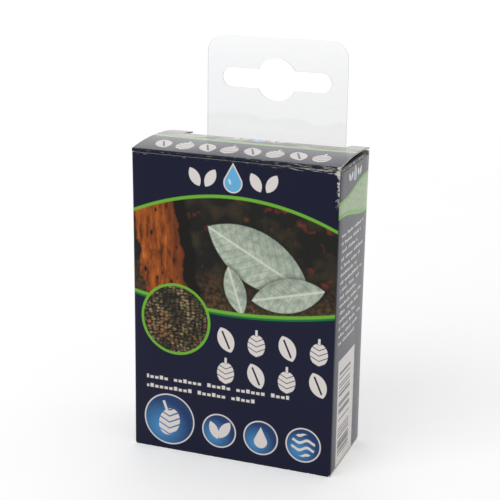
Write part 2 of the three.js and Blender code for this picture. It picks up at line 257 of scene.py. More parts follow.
class Wire:
    """A number that varies over a surface. Arithmetic on it adds Math nodes."""

    def __init__(self, recipe: Recipe, socket: bpy.types.NodeSocket) -> None:
        """Wraps an output socket of a recipe's tree."""
        self.recipe = recipe
        self.socket = socket

    def math(self, operation: str, *terms: Term) -> "Wire":
        """The result of a Math node on the terms in order."""
        made = self.recipe.node("Math", {"operation": operation}, dict(enumerate(terms)))
        return Wire(self.recipe, made.outputs[0])

    def __add__(self, other: Term) -> "Wire":
        """self + other."""
        return self.math("ADD", self, other)

    __radd__ = __add__

    def __sub__(self, other: Term) -> "Wire":
        """self - other."""
        return self.math("SUBTRACT", self, other)

    def __rsub__(self, other: Term) -> "Wire":
        """other - self."""
        return self.math("SUBTRACT", other, self)

    def __mul__(self, other: Term) -> "Wire":
        """self * other."""
        return self.math("MULTIPLY", self, other)

    __rmul__ = __mul__

    def __truediv__(self, other: Term) -> "Wire":
        """self / other."""
        return self.math("DIVIDE", self, other)

    def __neg__(self) -> "Wire":
        """-self."""
        return self.math("MULTIPLY", self, -1.0)

    def __abs__(self) -> "Wire":
        """The size of self."""
        return self.math("ABSOLUTE", self)

    def least(self, other: Term) -> "Wire":
        """The smaller of the two."""
        return self.math("MINIMUM", self, other)

    def most(self, other: Term) -> "Wire":
        """The larger of the two."""
        return self.math("MAXIMUM", self, other)

    def sine(self) -> "Wire":
        """The sine of self, in radians."""
        return self.math("SINE", self)

    def whole(self) -> "Wire":
        """The whole number below self."""
        return self.math("FLOOR", self)

    def rest(self) -> "Wire":
        """What self has over the whole number below it."""
        return self.math("FRACT", self)

    def span(self, low: float, high: float) -> "Wire":
        """0 at low, 1 at high, straight between them and level outside."""
        made = self.recipe.node("MapRange", {"clamp": True}, {0: self, 1: low, 2: high, 3: 0.0, 4: 1.0})
        return Wire(self.recipe, made.outputs[0])


INK_BLUR = 0.14


class Sheet:
    """A printed side as a flat sheet: its coordinates, its shapes and the inks laid on it."""

    def __init__(self, recipe: Recipe, side: Side, ground: Colour) -> None:
        """Lays the sheet's ground colour.

        Args:
            recipe: the material that the sheet belongs to.
            side: the side of the carton.
            ground: the colour of the whole sheet.
        """
        self.recipe = recipe
        place = recipe.place()
        _, right, up = side.value
        self.x = recipe.along(place, right)
        self.y = recipe.along(place, up)
        self.flat = recipe.combine(self.x, self.y)
        self.colour = ground

    def lay(self, colour: Feed, mask: Wire) -> None:
        """Lays an ink over what is there, where the mask is 1."""
        self.colour = self.recipe.mix(self.colour, colour, mask)

    def inside(self, distance: Wire, blur: float = INK_BLUR) -> Wire:
        """A mask of the inside of a shape, from the distance to its outline."""
        return distance.span(blur / 2, -blur / 2)

    def fill(self, colour: Feed, distance: Wire, blur: float = INK_BLUR) -> None:
        """Lays an ink inside a shape, from the distance to its outline."""
        self.lay(colour, self.inside(distance, blur))

    def local(self, centre: Point, turn: float = 0.0) -> bpy.types.NodeSocket:
        """Sheet coordinates round a centre, turned by an angle in degrees.

        Args:
            centre: the place that becomes zero.
            turn: the angle in degrees.

        Returns:
            The coordinates.
        """
        moved = self.recipe.vector("SUBTRACT", self.flat, (*centre, 0.0))
        if not turn:
            return moved
        turned = self.recipe.node(
            "VectorRotate", {"rotation_type": "Z_AXIS"}, {"Vector": moved, "Angle": -math.radians(turn)}
        )
        return turned.outputs[0]

    def length(self, vector: Feed) -> Wire:
        """The length of a vector."""
        return Wire(self.recipe, self.recipe.vector("LENGTH", vector, out="Value"))

    def disc(self, centre: Point, radius: float) -> Wire:
        """Distance to a disc."""
        return self.length(self.local(centre)) - radius

    def bar(self, centre: Point, half: Point, round_by: float, turn: float = 0.0) -> Wire:
        """Distance to a bar with round corners, given by half its width and height.

        Args:
            centre: its middle.
            half: half its width and height.
            round_by: the radius of its corners.
            turn: its lean in degrees.

        Returns:
            The distance, below 0 inside.
        """
        recipe = self.recipe
        reach = (half[0] - round_by, half[1] - round_by, 0.0)
        folded = recipe.vector("ABSOLUTE", self.local(centre, turn))
        outside = recipe.vector("MAXIMUM", recipe.vector("SUBTRACT", folded, reach), (0.0, 0.0, 0.0))
        return self.length(outside) - round_by

    def leaf(self, centre: Point, length: float, width: float, turn: float = 0.0) -> Wire:
        """Distance to a leaf with two pointed ends, upright when turn is 0.

        Args:
            centre: its middle.
            length: its length.
            width: its greatest width.
            turn: its lean in degrees.

        Returns:
            The distance, below 0 inside.
        """
        radius = (length * length / width + width) / 4
        folded = self.recipe.vector("ABSOLUTE", self.local(centre, turn))
        moved = self.recipe.vector("ADD", folded, (radius - width / 2, 0.0, 0.0))
        return self.length(moved) - radius

    def drop(self, centre: Point, radius: float, height: float) -> Wire:
        """Distance to a drop: a disc and the point above it, at a height over the disc's middle.

        Args:
            centre: the disc's middle.
            radius: the disc's radius.
            height: how far the point lies over the middle.

        Returns:
            The distance, below 0 inside.
        """
        x, y, _ = self.recipe.split(self.local(centre))
        sine = radius / height
        slope = abs(x) * math.sqrt(1 - sine * sine) + (y - height) * sine
        point = slope.most(radius * sine - y)
        return point.least(self.disc(centre, radius))

    def egg(self, centre: Point, length: float, width: float, turn: float = 0.0) -> Wire:
        """Distance to an oval, upright when turn is 0."""
        scaled = self.recipe.vector("MULTIPLY", self.local(centre, turn), (2 / width, 2 / length, 0.0))
        return (self.length(scaled) - 1) * (width / 2)


@dataclass(frozen=True)
class Varnish:
    """The gloss over the print, and how the board shows where it is scuffed away."""

    roughness: float = 0.22
    scuffed: float = 0.75
    specular: float = 0.5
    ripple: float = 0.00003

    def finish(self, sheet: Sheet, wear: Wire) -> bpy.types.Material:
        """Ends a printed material.

        Args:
            sheet: the printed sheet.
            wear: 1 where the print is worn down to the bare board.

        Returns:
            The material.
        """
        recipe = sheet.recipe
        place = recipe.place()
        fibre = recipe.noise(place, 3.5, 3.0)
        sheet.lay(recipe.mix(INK.raw_fibre, INK.raw_board, fibre.span(0.35, 0.55)), wear)
        haze = recipe.noise(place, 0.12, 3.0).span(0.3, 0.7)
        gloss = self.roughness + haze * 0.06
        rough = gloss + wear * (self.scuffed - self.roughness)
        ripple = recipe.noise(place, 0.5, 2.0)
        relief = ripple + fibre * 0.15 - wear * 1.5
        return recipe.finish(
            Base_Color=sheet.colour,
            Roughness=rough,
            Specular_IOR_Level=self.specular,
            Normal=recipe.bump(relief, 0.6, self.ripple),
        )


VARNISH = Varnish()
FRONT_VARNISH = Varnish(specular=0.15)


@dataclass(frozen=True)
class Artwork:
    """The generic print of a carton of an outside size: inks on each side, and wear along its edges."""

    width: float
    depth: float
    height: float

    def picture(self, sheet: Sheet) -> bpy.types.NodeSocket:
        """A dim woodland still: a leaning bark, pale leaves and small rusty bits on a dark ground.

        Args:
            sheet: the sheet that it is drawn on.

        Returns:
            The picture's colour, which fills the whole sheet.
        """
        recipe = sheet.recipe
        kept, sheet.colour = sheet.colour, INK.shade
        flat = sheet.flat
        soft = recipe.noise(flat, 0.13, 3.0)
        sheet.lay(INK.soil, soft.span(0.48, 0.75))
        bits = recipe.noise(recipe.vector("ADD", flat, (40.0, 7.0, 0.0)), 0.28, 2.0)
        sheet.lay(INK.rust, bits.span(0.60, 0.72) * 0.9)
        low = sheet.y.span(56.0, 44.0)
        grit = recipe.noise(flat, 0.9, 4.0, 0.7)
        sheet.lay(recipe.mix(INK.litter_dark, INK.litter_pale, grit.span(0.42, 0.72)), low * 0.85)
        self.bark(sheet)
        self.big_leaf(sheet, (7.5, 59.5), 33.0, 15.0, 62.0)
        self.big_leaf(sheet, (16.0, 50.5), 21.0, 9.5, 104.0)
        self.big_leaf(sheet, (1.0, 50.0), 14.0, 6.0, 18.0)
        picture, sheet.colour = sheet.colour, kept
        return picture

    def bark(self, sheet: Sheet) -> None:
        """A leaning piece of orange bark with dark pits, and the shadow beside it.

        Args:
            sheet: the sheet that it is drawn on.
        """
        recipe = sheet.recipe
        middle = (58.0 - sheet.y) * 0.16 - 21.0
        wander = recipe.noise(recipe.combine(0.0, sheet.y), 0.16, 3.0) * 5.0 - 2.5
        across = sheet.x - middle - wander
        edge = abs(across) - 6.4
        sheet.fill(INK.bark_shadow, abs(across - 4.0) - 6.2, 1.2)
        streak = recipe.noise(recipe.vector("MULTIPLY", sheet.flat, (1.0, 0.22, 1.0)), 0.75, 5.0, 0.65)
        tone = recipe.mix(INK.bark_dark, INK.bark, streak.span(0.36, 0.62))
        tone = recipe.mix(tone, INK.bark_bright, streak.span(0.62, 0.78))
        pits, _ = recipe.cells(recipe.vector("MULTIPLY", sheet.flat, (1.0, 0.6, 1.0)), 0.42)
        tone = recipe.mix(tone, INK.bark_pit, pits.span(0.26, 0.14))
        tone = recipe.mix(tone, INK.bark_dark, across.span(1.0, 6.4) * 0.8)
        sheet.fill(tone, edge, 0.5)

    def big_leaf(self, sheet: Sheet, centre: Point, length: float, width: float, turn: float) -> None:
        """One pale leaf with a midrib and side veins.

        Args:
            sheet: the sheet that it is drawn on.
            centre: the leaf's middle.
            length: its length.
            width: its greatest width.
            turn: its lean from upright, in degrees.
        """
        recipe = sheet.recipe
        distance = sheet.leaf(centre, length, width, turn)
        across, up, _ = recipe.split(sheet.local(centre, turn))
        side = abs(across)
        veins = ((up - side * 0.9) * (math.tau / 2.6)).sine().span(0.72, 1.0)
        rib = side.span(0.45, 0.15)
        mottle = recipe.noise(sheet.flat, 0.5, 4.0, 0.6)
        tone = recipe.mix(INK.pale_vein, INK.pale_leaf, mottle.span(0.28, 0.62))
        tone = recipe.mix(tone, INK.pale_vein, veins * 0.55)
        tone = recipe.mix(tone, INK.leaf_rib, rib * 0.8)
        tone = recipe.mix(tone, INK.leaf_shade, across.span(0.0, width * 0.75) * 0.55)
        sheet.lay(INK.leaf_shadow, sheet.inside(distance - 0.7, 1.6) * 0.7)
        sheet.fill(tone, distance, 0.3)

    def medallion(self, sheet: Sheet, centre: Point, radius: float) -> None:
        """A green ring round a heap of small cones.

        Args:
            sheet: the sheet that it is drawn on.
            centre: the ring's middle.
            radius: its outer radius.
        """
        recipe = sheet.recipe
        distance, own = recipe.cells(sheet.flat, 0.30, 0.9)
        tint, lean, _ = recipe.split(own)
        turned = recipe.vector("ADD", sheet.flat, recipe.combine(lean * 3.0, tint * 5.0))
        scale, _ = recipe.cells(recipe.vector("MULTIPLY", turned, (0.8, 1.2, 1.0)), 0.95, 0.5)
        lit = scale.span(0.62, 0.25) * distance.span(1.0, 0.35)
        tone = recipe.mix(INK.cone_shadow, INK.cone_brown, lit)
        tone = recipe.mix(tone, INK.cone_bright, lit.span(0.55, 1.0) * 0.8)
        tone = recipe.mix(tone, INK.cone_rust, lit * tint.span(0.72, 0.9) * 0.7)
        rim = sheet.disc(centre, radius)
        sheet.fill(INK.leaf_green, rim)
        sheet.fill(tone, rim + 0.75)

    def sprig(self, sheet: Sheet, centre: Point, size: float) -> None:
        """A bold row mark: pale leaves on both sides of a light blue drop.

        Args:
            sheet: the sheet that it is drawn on.
            centre: the middle of the mark.
            size: the height of a leaf.
        """
        x, y = centre
        pale = sheet.leaf((x - 1.95 * size, y), size, size * 0.52, 30.0)
        for across, turn in ((-1.15, -30.0), (1.15, 30.0), (1.95, -30.0)):
            pale = pale.least(sheet.leaf((x + across * size, y), size, size * 0.52, turn))
        sheet.fill(INK.white, pale)
        drop = sheet.drop((x, y - size * 0.14), size * 0.42, size * 0.86)
        sheet.fill(INK.white, drop - 0.35)
        sheet.fill(INK.sky, drop)
        shine = sheet.egg((x - size * 0.16, y - size * 0.08), size * 0.3, size * 0.13, 20.0)
        sheet.fill(INK.drop_shine, shine)

    def frieze(self, sheet: Sheet, start: Point, step: float, size: float, count: int, first: int) -> None:
        """A row of bold white leaves and cones.

        Args:
            sheet: the sheet that it is drawn on.
            start: the middle of the first shape.
            step: the distance from one shape to the next.
            size: the height of a shape.
            count: how many shapes there are.
            first: 0 to start with a leaf, 1 to start with a cone.
        """
        for number in range(count):
            centre = (start[0] + step * number, start[1])
            if (number + first) % 2 == 0:
                shape = sheet.leaf(centre, size, size * 0.62, 24.0)
                rib = sheet.bar(centre, (size * 0.035, size * 0.36), size * 0.03, 24.0)
                sheet.fill(INK.white, shape.most(-rib))
                continue
            cone = sheet.egg((centre[0], centre[1] - size * 0.06), size * 0.84, size * 0.66)
            stalk = sheet.bar((centre[0], centre[1] + size * 0.42), (size * 0.045, size * 0.12), size * 0.03)
            gaps = self.chevrons(sheet, centre, size * 0.2, size * 0.016)
            sheet.fill(INK.white, cone.most(-gaps).least(stalk))

    def chevrons(self, sheet: Sheet, centre: Point, pitch: float, gap: float) -> Wire:
        """Distance to the bent gaps between a drawn cone's rows of scales.

        Args:
            sheet: the sheet that they are drawn on.
            centre: the middle of the cone.
            pitch: the distance from one gap to the next.
            gap: half the height of a gap.

        Returns:
            The distance, below 0 inside.
        """
        rows = abs(sheet.x - centre[0]) * 0.5 - (sheet.y - centre[1])
        return abs((rows / pitch).rest() - 0.5) * pitch - gap

    def rows(
        self, sheet: Sheet, lines: Sequence[tuple[float, float, float]], pitch: float, thick: float
    ) -> None:
        """Rows of small pale dashes with gaps, all one ornament with no words.

        Args:
            sheet: the sheet that it is drawn on.
            lines: left end, right end and height of each row.
            pitch: the distance from one dash to the next.
            thick: half the height of a dash.
        """
        step = sheet.x / pitch
        dash = step.whole()
        uneven = dash * 0.157 + (dash * 0.9).sine() * 0.1
        inner = abs(step.rest() - 0.5) * pitch - pitch * 0.35
        for number, (left, right, level) in enumerate(lines):
            kept = (uneven + 0.37 * number).rest().span(0.15, 0.16)
            tall = (dash * 0.618 + 0.29 * number).rest().span(0.70, 0.72)
            row = abs(sheet.y - level - tall * (thick * 0.3)) - thick * (tall * 0.3 + 0.7)
            ends = abs(sheet.x - (left + right) / 2) - (right - left) / 2
            sheet.lay(INK.white, sheet.inside(row.most(ends).most(inner), 0.2) * kept)

    def disc_mark(self, sheet: Sheet, centre: Point, radius: float, kind: int) -> None:
        """A blue disc with a white rim and a simple white figure.

        Args:
            sheet: the sheet that it is drawn on.
            centre: the disc's middle.
            radius: its outer radius.
            kind: 0 for a pair of leaves, 1 for a drop, 2 for waves, 3 for a cone.
        """
        recipe = sheet.recipe
        x, y = centre
        rim = sheet.disc(centre, radius)
        glow = sheet.disc((x - radius * 0.3, y - radius * 0.35), 0.0).span(radius * 1.1, 0.0)
        sheet.fill(INK.white, rim)
        sheet.fill(recipe.mix(INK.disc_dark, INK.disc_light, glow), rim + 0.38)
        if kind == 0:
            left = sheet.leaf((x - radius * 0.3, y), radius * 1.1, radius * 0.5, 24.0)
            place = (x + radius * 0.32, y + radius * 0.08)
            figure = left.least(sheet.leaf(place, radius * 1.2, radius * 0.55, -32.0))
        elif kind == 1:
            figure = sheet.drop((x, y - radius * 0.22), radius * 0.38, radius * 0.86)
        elif kind == 2:
            pitch = radius * 0.42
            wave = sheet.y - y - ((sheet.x - x) * (math.tau / (radius * 0.9))).sine() * (radius * 0.09)
            stripes = abs((wave / pitch).rest() - 0.5) * pitch - radius * 0.08
            figure = stripes.most(rim + radius * 0.32)
        else:
            cone = sheet.egg((x, y - radius * 0.1), radius * 1.1, radius * 0.8, -20.0)
            gaps = self.chevrons(sheet, centre, radius * 0.24, radius * 0.028)
            foot = (x - radius * 0.16, y + radius * 0.52)
            stalk = sheet.bar(foot, (radius * 0.05, radius * 0.2), 0.1, 20.0)
            figure = cone.most(-gaps).least(stalk)
        sheet.fill(INK.white, figure)

    def line(self, sheet: Sheet, level: Wire, width: float) -> None:
        """A two-tone green line that follows a level.

        Args:
            sheet: the sheet that it is drawn on.
            level: the height of the line's middle over the point.
            width: the line's whole width.
        """
        off = sheet.y - level
        sheet.fill(INK.dark_green, abs(off) - width / 2)
        sheet.fill(INK.leaf_green, abs(off - width / 5) - width * 0.3, 0.3)

    def worn_edge(self, sheet: Sheet, reach: Wire, deep: float, often: float, seed: float) -> Wire:
        """Scuffs along an edge.

        Args:
            sheet: the sheet that is worn.
            reach: the distance from the edge.
            deep: how far the deepest scuff reaches.
            often: 0 for hardly any scuffs, 1 for an unbroken strip.
            seed: moves the pattern.

        Returns:
            The wear, from 0 to 1.
        """
        recipe = sheet.recipe
        moved = recipe.vector("ADD", sheet.flat, (seed, seed * 1.7, 0.0))
        rough = recipe.noise(moved, 0.55, 5.0, 0.72)
        fine = recipe.noise(moved, 2.2, 3.0, 0.6)
        bite = (rough - (0.66 - 0.36 * often)) * (deep * 6.0) + (fine - 0.5) * (deep * 1.4)
        return (bite - reach).span(-0.05, 0.08)

    def scuffs(self, sheet: Sheet, wear: Wire, *edges: tuple[Wire, float, float, float]) -> Wire:
        """Adds the scuffs of several edges to the wear.

        Args:
            sheet: the sheet that is worn.
            wear: the wear so far.
            edges: reach, deep, often and seed of each edge, as worn_edge takes them.

        Returns:
            The wear, from 0 to 1.
        """
        for reach, deep, often, seed in edges:
            wear = wear.most(self.worn_edge(sheet, reach, deep, often, seed))
        return wear

    def cracks(self, sheet: Sheet, along: Wire, off: Wire, band: float, much: float) -> Wire:
        """Thin broken lines where the print has cracked along a fold.

        Args:
            sheet: the sheet that is worn.
            along: the place along the fold.
            off: the distance across it, from its middle.
            band: how far from the fold the cracks reach.
            much: 0 for few cracks, 1 for many.

        Returns:
            The wear, from 0 to 1.
        """
        recipe = sheet.recipe
        streak = recipe.noise(recipe.combine(along * 0.34, off * 3.0), 1.0, 4.0, 0.62)
        near = abs(off).span(band, band * 0.55)
        level = 0.66 - 0.16 * much
        return (streak * near).span(level, level + 0.05)

    def front(self) -> bpy.types.Material:
        """The front: a dim picture over a navy foot, with a sprig, a frieze, a medallion and discs.

        Returns:
            The material.
        """
        recipe = Recipe("printed board front")
        sheet = Sheet(recipe, Side.FRONT, INK.navy)
        sag = sheet.x * sheet.x
        level = sag * 0.0036 + 43.2
        header = sag * -0.0075 + 76.4
        picture = self.picture(sheet)
        sheet.fill(picture, level - sheet.y, 0.2)
        self.line(sheet, level, 1.5)
        sheet.fill(INK.leaf_green, header - sheet.y - 0.9, 0.3)
        sheet.fill(INK.deep_navy, header - sheet.y, 0.2)
        self.sprig(sheet, (0.0, 80.6), 5.6)
        self.medallion(sheet, (-16.6, 39.5), 10.4)
        self.frieze(sheet, (-1.6, 35.6), 8.9, 7.6, 4, 0)
        self.frieze(sheet, (-1.6, 26.3), 8.9, 7.6, 4, 1)
        lines = ((-25.5, 17.0, 21.3), (-25.5, 8.0, 18.6))
        self.rows(sheet, lines, 1.45, 0.55)
        self.disc_mark(sheet, (-18.6, 9.2), 7.7, 3)
        for number, x in enumerate((-3.4, 9.0, 21.4)):
            self.disc_mark(sheet, (x, 8.2), 5.1, number)
        fold = sheet.y - (self.height - 0.95)
        near_right = sheet.x.span(8.0, 27.0)
        wear = self.cracks(sheet, sheet.x, fold, 1.1, 0.45) * (near_right * 0.4 + 0.4)
        wear = wear.most(self.cracks(sheet, sheet.x + 40.0, fold, 1.5, 0.8) * near_right)
        right = self.width / 2 - sheet.x
        upper = sheet.y.span(75.5, 79.0)
        wear = wear.most(self.worn_edge(sheet, right, 0.8, 0.80, 31.0) * upper)
        corner = sheet.length(sheet.local((self.width / 2, self.height - 1.4)))
        left = self.width / 2 + sheet.x
        wear = self.scuffs(
            sheet,
            wear,
            (corner - 0.8, 1.4, 0.45, 83.0),
            (right, 0.18, 0.42, 47.0),
            (left, 0.16, 0.40, 59.0),
            (sheet.y, 0.25, 0.42, 71.0),
        )
        return FRONT_VARNISH.finish(sheet, wear)

    def flank(self, side: Side) -> bpy.types.Material:
        """A narrow side: a navy top, a light green band, rows of dashes and, on the right, a label.

        Args:
            side: the left or the right side.

        Returns:
            The material.
        """
        recipe = Recipe(f"printed board {side.value[0]}")
        sheet = Sheet(recipe, side, INK.navy)
        swell = (sheet.x * (math.tau / 46.0)).sine() * 1.6
        upper = swell + 78.6
        lower = swell * -1.0 + 71.8
        speckle = recipe.noise(sheet.flat, 0.8, 3.0, 0.6)
        band = recipe.mix(INK.band_green, INK.band_fleck, speckle.span(0.5, 0.66))
        band = recipe.mix(band, INK.band_dark, speckle.span(0.44, 0.34))
        sheet.fill(band, (sheet.y - upper).most(lower - sheet.y))
        sheet.fill(INK.leaf_green, abs(sheet.y - upper) - 0.4)
        sheet.fill(INK.leaf_green, abs(sheet.y - lower) - 0.6)
        self.sprig(sheet, (0.0, 82.4), 2.6)
        lines = [(-10.4, 10.0 - 2.7 * (number % 3), 67.5 - 2.15 * number) for number in range(15)]
        self.rows(sheet, lines, 1.1, 0.42)
        if side is Side.RIGHT:
            self.label(sheet)
        edge = self.depth / 2 - abs(sheet.x)
        wear = self.worn_edge(sheet, edge, 0.22, 0.42, 5.0)
        upper_front = sheet.y.span(76.0, 80.0) * sheet.x.span(-8.0, -12.0)
        wear = wear.most(self.worn_edge(sheet, edge, 0.3, 0.70, 23.0) * upper_front)
        wear = wear.most(self.cracks(sheet, sheet.x, sheet.y - 85.0, 0.8, 0.3))
        wear = wear.most(self.worn_edge(sheet, sheet.y - 0.8, 0.3, 0.45, 53.0))
        return VARNISH.finish(sheet, wear)

    def label(self, sheet: Sheet) -> None:
        """A white field with a run of dark bars of seeded random widths.

        Args:
            sheet: the sheet that it is drawn on.
        """
        recipe = sheet.recipe
        sheet.fill(INK.white, sheet.bar((-1.7, 16.6), (7.6, 15.6), 0.2))
        slot = ((sheet.y - 3.7) / 0.42).whole()
        draw = recipe.node("TexWhiteNoise", {"noise_dimensions": "1D"}, {"W": slot})
        dark = Wire(recipe, draw.outputs["Value"]).span(0.46, 0.54)
        bars = sheet.bar((-2.9, 16.7), (5.1, 13.0), 0.05)
        sheet.lay(INK.bar_ink, sheet.inside(bars) * dark)

    def back(self) -> bpy.types.Material:
        """The back: a navy ground with a green line, rows of dashes and small discs.

        Returns:
            The material.
        """
        recipe = Recipe("printed board back")
        sheet = Sheet(recipe, Side.BACK, INK.navy)
        self.line(sheet, sheet.x * sheet.x * -0.003 + 64.0, 1.5)
        self.sprig(sheet, (0.0, 73.0), 5.0)
        self.frieze(sheet, (-21.0, 56.0), 8.4, 6.4, 6, 1)
        lines = [(-25.0, 24.0 - 3.5 * ((number * 2) % 5), 48.0 - 2.3 * number) for number in range(11)]
        self.rows(sheet, lines, 1.2, 0.42)
        for number in range(4):
            self.disc_mark(sheet, (-18.6 + 12.4 * number, 11.2), 4.9, (number + 2) % 4)
        edge = self.width / 2 - abs(sheet.x)
        wear = self.worn_edge(sheet, edge, 0.2, 0.42, 11.0)
        wear = self.scuffs(sheet, wear, (85.9 - sheet.y, 0.3, 0.5, 29.0), (sheet.y, 0.3, 0.45, 43.0))
        return VARNISH.finish(sheet, wear)

    def lid(self) -> bpy.types.Material:
        """The lid: a navy strip with a frieze along the front, a green line and a dim picture behind.

        Returns:
            The material.
        """
        recipe = Recipe("printed board lid")
        sheet = Sheet(recipe, Side.LID, INK.navy)
        soft = recipe.noise(sheet.flat, 0.2, 4.0, 0.6)
        picture = recipe.mix(INK.lid_dark, INK.lid_tan, soft.span(0.4, 0.62))
        patches = recipe.noise(sheet.flat, 0.11, 2.0).span(0.52, 0.62)
        picture = recipe.mix(picture, INK.lid_moss, patches)
        level = sheet.x * sheet.x * 0.0009 + 0.2
        sheet.fill(picture, level - sheet.y, 0.2)
        self.line(sheet, level, 2.2)
        sheet.fill(INK.mint, abs(sheet.y - level + 0.3) - 0.5, 0.4)
        self.frieze(sheet, (-22.6, -7.6), 6.45, 7.4, 8, 0)
        self.sprig(sheet, (0.0, 6.2), 3.4)
        front = sheet.y + self.depth / 2
        wear = self.cracks(sheet, sheet.x, front - 0.4, 0.9, 0.35)
        right = self.width / 2 - sheet.x
        left = self.width / 2 + sheet.x
        corner = sheet.length(sheet.local((self.width / 2, -self.depth / 2)))
        edges = ((right, 0.3, 0.5, 19.0), (left, 0.3, 0.5, 27.0), (corner - 0.6, 1.0, 0.5, 33.0))
        return VARNISH.finish(sheet, self.scuffs(sheet, wear, *edges))

    def plain(self) -> bpy.types.Material:
        """The bottom and the flaps: plain navy, scuffed along the carton's edges.

        Returns:
            The material.
        """
        recipe = Recipe("printed board plain")
        sheet = Sheet(recipe, Side.BOTTOM, INK.navy)
        edge = (self.depth / 2 - abs(sheet.y)).least(self.width / 2 - abs(sheet.x))
        wear = self.worn_edge(sheet, edge, 0.2, 0.42, 13.0)
        return VARNISH.finish(sheet, wear)


@dataclass(frozen=True)
class BareBoard:
    """The unprinted side of the board, or its cut edge."""

    name: str
    colour: Colour
    fleck: Colour
    roughness: float = 0.82

    def material(self) -> bpy.types.Material:
        """Builds the material: short fibres, soft mottling and a felt-like relief.

        Returns:
            The material.
        """
        recipe = Recipe(self.name)
        place = recipe.place()
        fibres = recipe.noise(recipe.vector("MULTIPLY", place, (1.0, 1.0, 0.35)), 4.0, 4.0, 0.65)
        mottle = recipe.noise(place, 0.35, 3.0)
        colour = recipe.mix(self.fleck, self.colour, fibres.span(0.32, 0.5))
        colour = recipe.mix(colour, self.fleck, mottle.span(0.5, 0.75) * 0.25)
        relief = fibres * 0.6 + mottle
        return recipe.finish(
            Base_Color=colour,
            Roughness=self.roughness + mottle * 0.1,
            Specular_IOR_Level=0.3,
            Normal=recipe.bump(relief, 0.5, 0.00003),
        )


@dataclass(frozen=True)
class ClearFilm:
    """The clear plastic of the hang tab, or its cut edge."""

    name: str
    tint: Colour
    roughness: float = 0.06

    def material(self) -> bpy.types.Material:
        """Builds the material: clear and glossy, with fine handling scratches.

        Returns:
            The material.
        """
        recipe = Recipe(self.name)
        place = recipe.place()
        long_way = recipe.vector("MULTIPLY", place, (0.12, 1.0, 1.6))
        scratches = recipe.noise(long_way, 1.3, 5.0, 0.7).span(0.63, 0.70)
        waves = recipe.bump(recipe.noise(place, 0.07, 1.0), 0.3, 0.0012)
        clear = recipe.node("BsdfTransparent", {}, {"Color": self.tint})
        gloss = recipe.node(
            "BsdfPrincipled",
            {},
            {
                "Base Color": recipe.mix((0.82, 0.83, 0.84), (1.0, 1.0, 1.0), scratches),
                "Roughness": scratches * 0.25 + self.roughness,
                "Metallic": 1.0,
                "Normal": waves,
            },
        )
        facing = Wire(recipe, recipe.node("LayerWeight", {}, {"Blend": 0.5}).outputs["Facing"])
        share = facing.math("POWER", facing, 5.0) * 0.85 + scratches * 0.10 + 0.04
        inputs = {0: share, 1: clear.outputs[0], 2: gloss.outputs[0]}
        return recipe.close(recipe.node("MixShader", {}, inputs))


@dataclass(frozen=True)
class Glue:
    """The pressed adhesive layer behind the tab."""

    tint: Colour = (0.70, 0.71, 0.70)

    def material(self) -> bpy.types.Material:
        """Builds the material: a thin milky layer, pressed clear in spots.

        Returns:
            The material.
        """
        recipe = Recipe("pressed adhesive")
        place = recipe.place()
        bubbles, _ = recipe.cells(place, 0.42)
        milky = recipe.noise(place, 0.10, 3.0).span(0.35, 0.7)
        return recipe.finish(
            Base_Color=self.tint,
            Roughness=bubbles * 0.2 + 0.35,
            Alpha=milky * 0.10 + bubbles.span(0.22, 0.10) * 0.10 + 0.06,
            Normal=recipe.bump(bubbles, 0.3, 0.00005),
        )


@dataclass(frozen=True)
class ConeWood:
    """The woody scales of the alder cones."""

    dark: Colour = (0.050, 0.029, 0.017)
    mid: Colour = (0.155, 0.088, 0.048)
    pale: Colour = (0.36, 0.26, 0.17)

    def material(self) -> bpy.types.Material:
        """Builds the material: dark brown wood, paler on weathered patches, with fine grain.

        Returns:
            The material.
        """
        recipe = Recipe("alder cone wood")
        place = recipe.place()
        patch = recipe.noise(place, 0.18, 3.0)
        grain = recipe.noise(place, 2.4, 5.0, 0.7)
        colour = recipe.mix(self.dark, self.mid, grain.span(0.35, 0.62))
        colour = recipe.mix(colour, self.pale, grain.span(0.58, 0.72) * patch.span(0.4, 0.65))
        return recipe.finish(
            Base_Color=colour,
            Roughness=0.7 + grain * 0.25,
            Specular_IOR_Level=0.3,
            Normal=recipe.bump(grain, 0.6, 0.00012),
        )


class Surface(Enum):
    """The faces that a board piece can have, in the order of its material slots."""

    FRONT = 0
    BACK = 1
    RIGHT = 2
    LEFT = 3
    LID = 4
    PLAIN = 5
    INSIDE = 6
    EDGE = 7


class Finishes:
    """Every material of the carton, made once and shared by its pieces."""

    def __init__(self, width: float, depth: float, height: float) -> None:
        """Makes the materials for a carton of the given outside size in millimetres.

        Args:
            width: the carton's width in millimetres.
            depth: its depth.
            height: its height, without the tab.
        """
        art = Artwork(width, depth, height)
        self.board = [
            art.front(),
            art.back(),
            art.flank(Side.RIGHT),
            art.flank(Side.LEFT),
            art.lid(),
            art.plain(),
            BareBoard("board inside", INK.inside, INK.inside_fleck).material(),
            BareBoard("board cut edge", INK.raw_edge, INK.edge_fleck).material(),
        ]
        self.film = [
            ClearFilm("clear plastic film", (0.93, 0.932, 0.936)).material(),
            ClearFilm("clear film edge", (0.50, 0.52, 0.54)).material(),
        ]
        self.glue = Glue().material()
        self.wood = ConeWood().material()


def link(name: str, data: bpy.types.ID) -> bpy.types.Object:
    """Makes an object and links it to the scene.

    Args:
        name: the object's name.
        data: its mesh, lamp or camera.

    Returns:
        The object.
    """
    made = bpy.data.objects.new(name, data)
    bpy.context.scene.collection.objects.link(made)
    return made


def piece(name: str, mesh: bmesh.types.BMesh, materials: Iterable[bpy.types.Material]) -> bpy.types.Object:
    """Turns a mesh in millimetres into an object of the scene, in metres.

    Args:
        name: the piece's name.
        mesh: its mesh, which is freed.
        materials: its materials in slot order.

    Returns:
        The new object.
    """
    bmesh.ops.scale(mesh, vec=(MM, MM, MM), verts=mesh.verts)
    data = bpy.data.meshes.new(name)
    mesh.to_mesh(data)
    mesh.free()
    for material in materials:
        data.materials.append(material)
    return link(name, data)


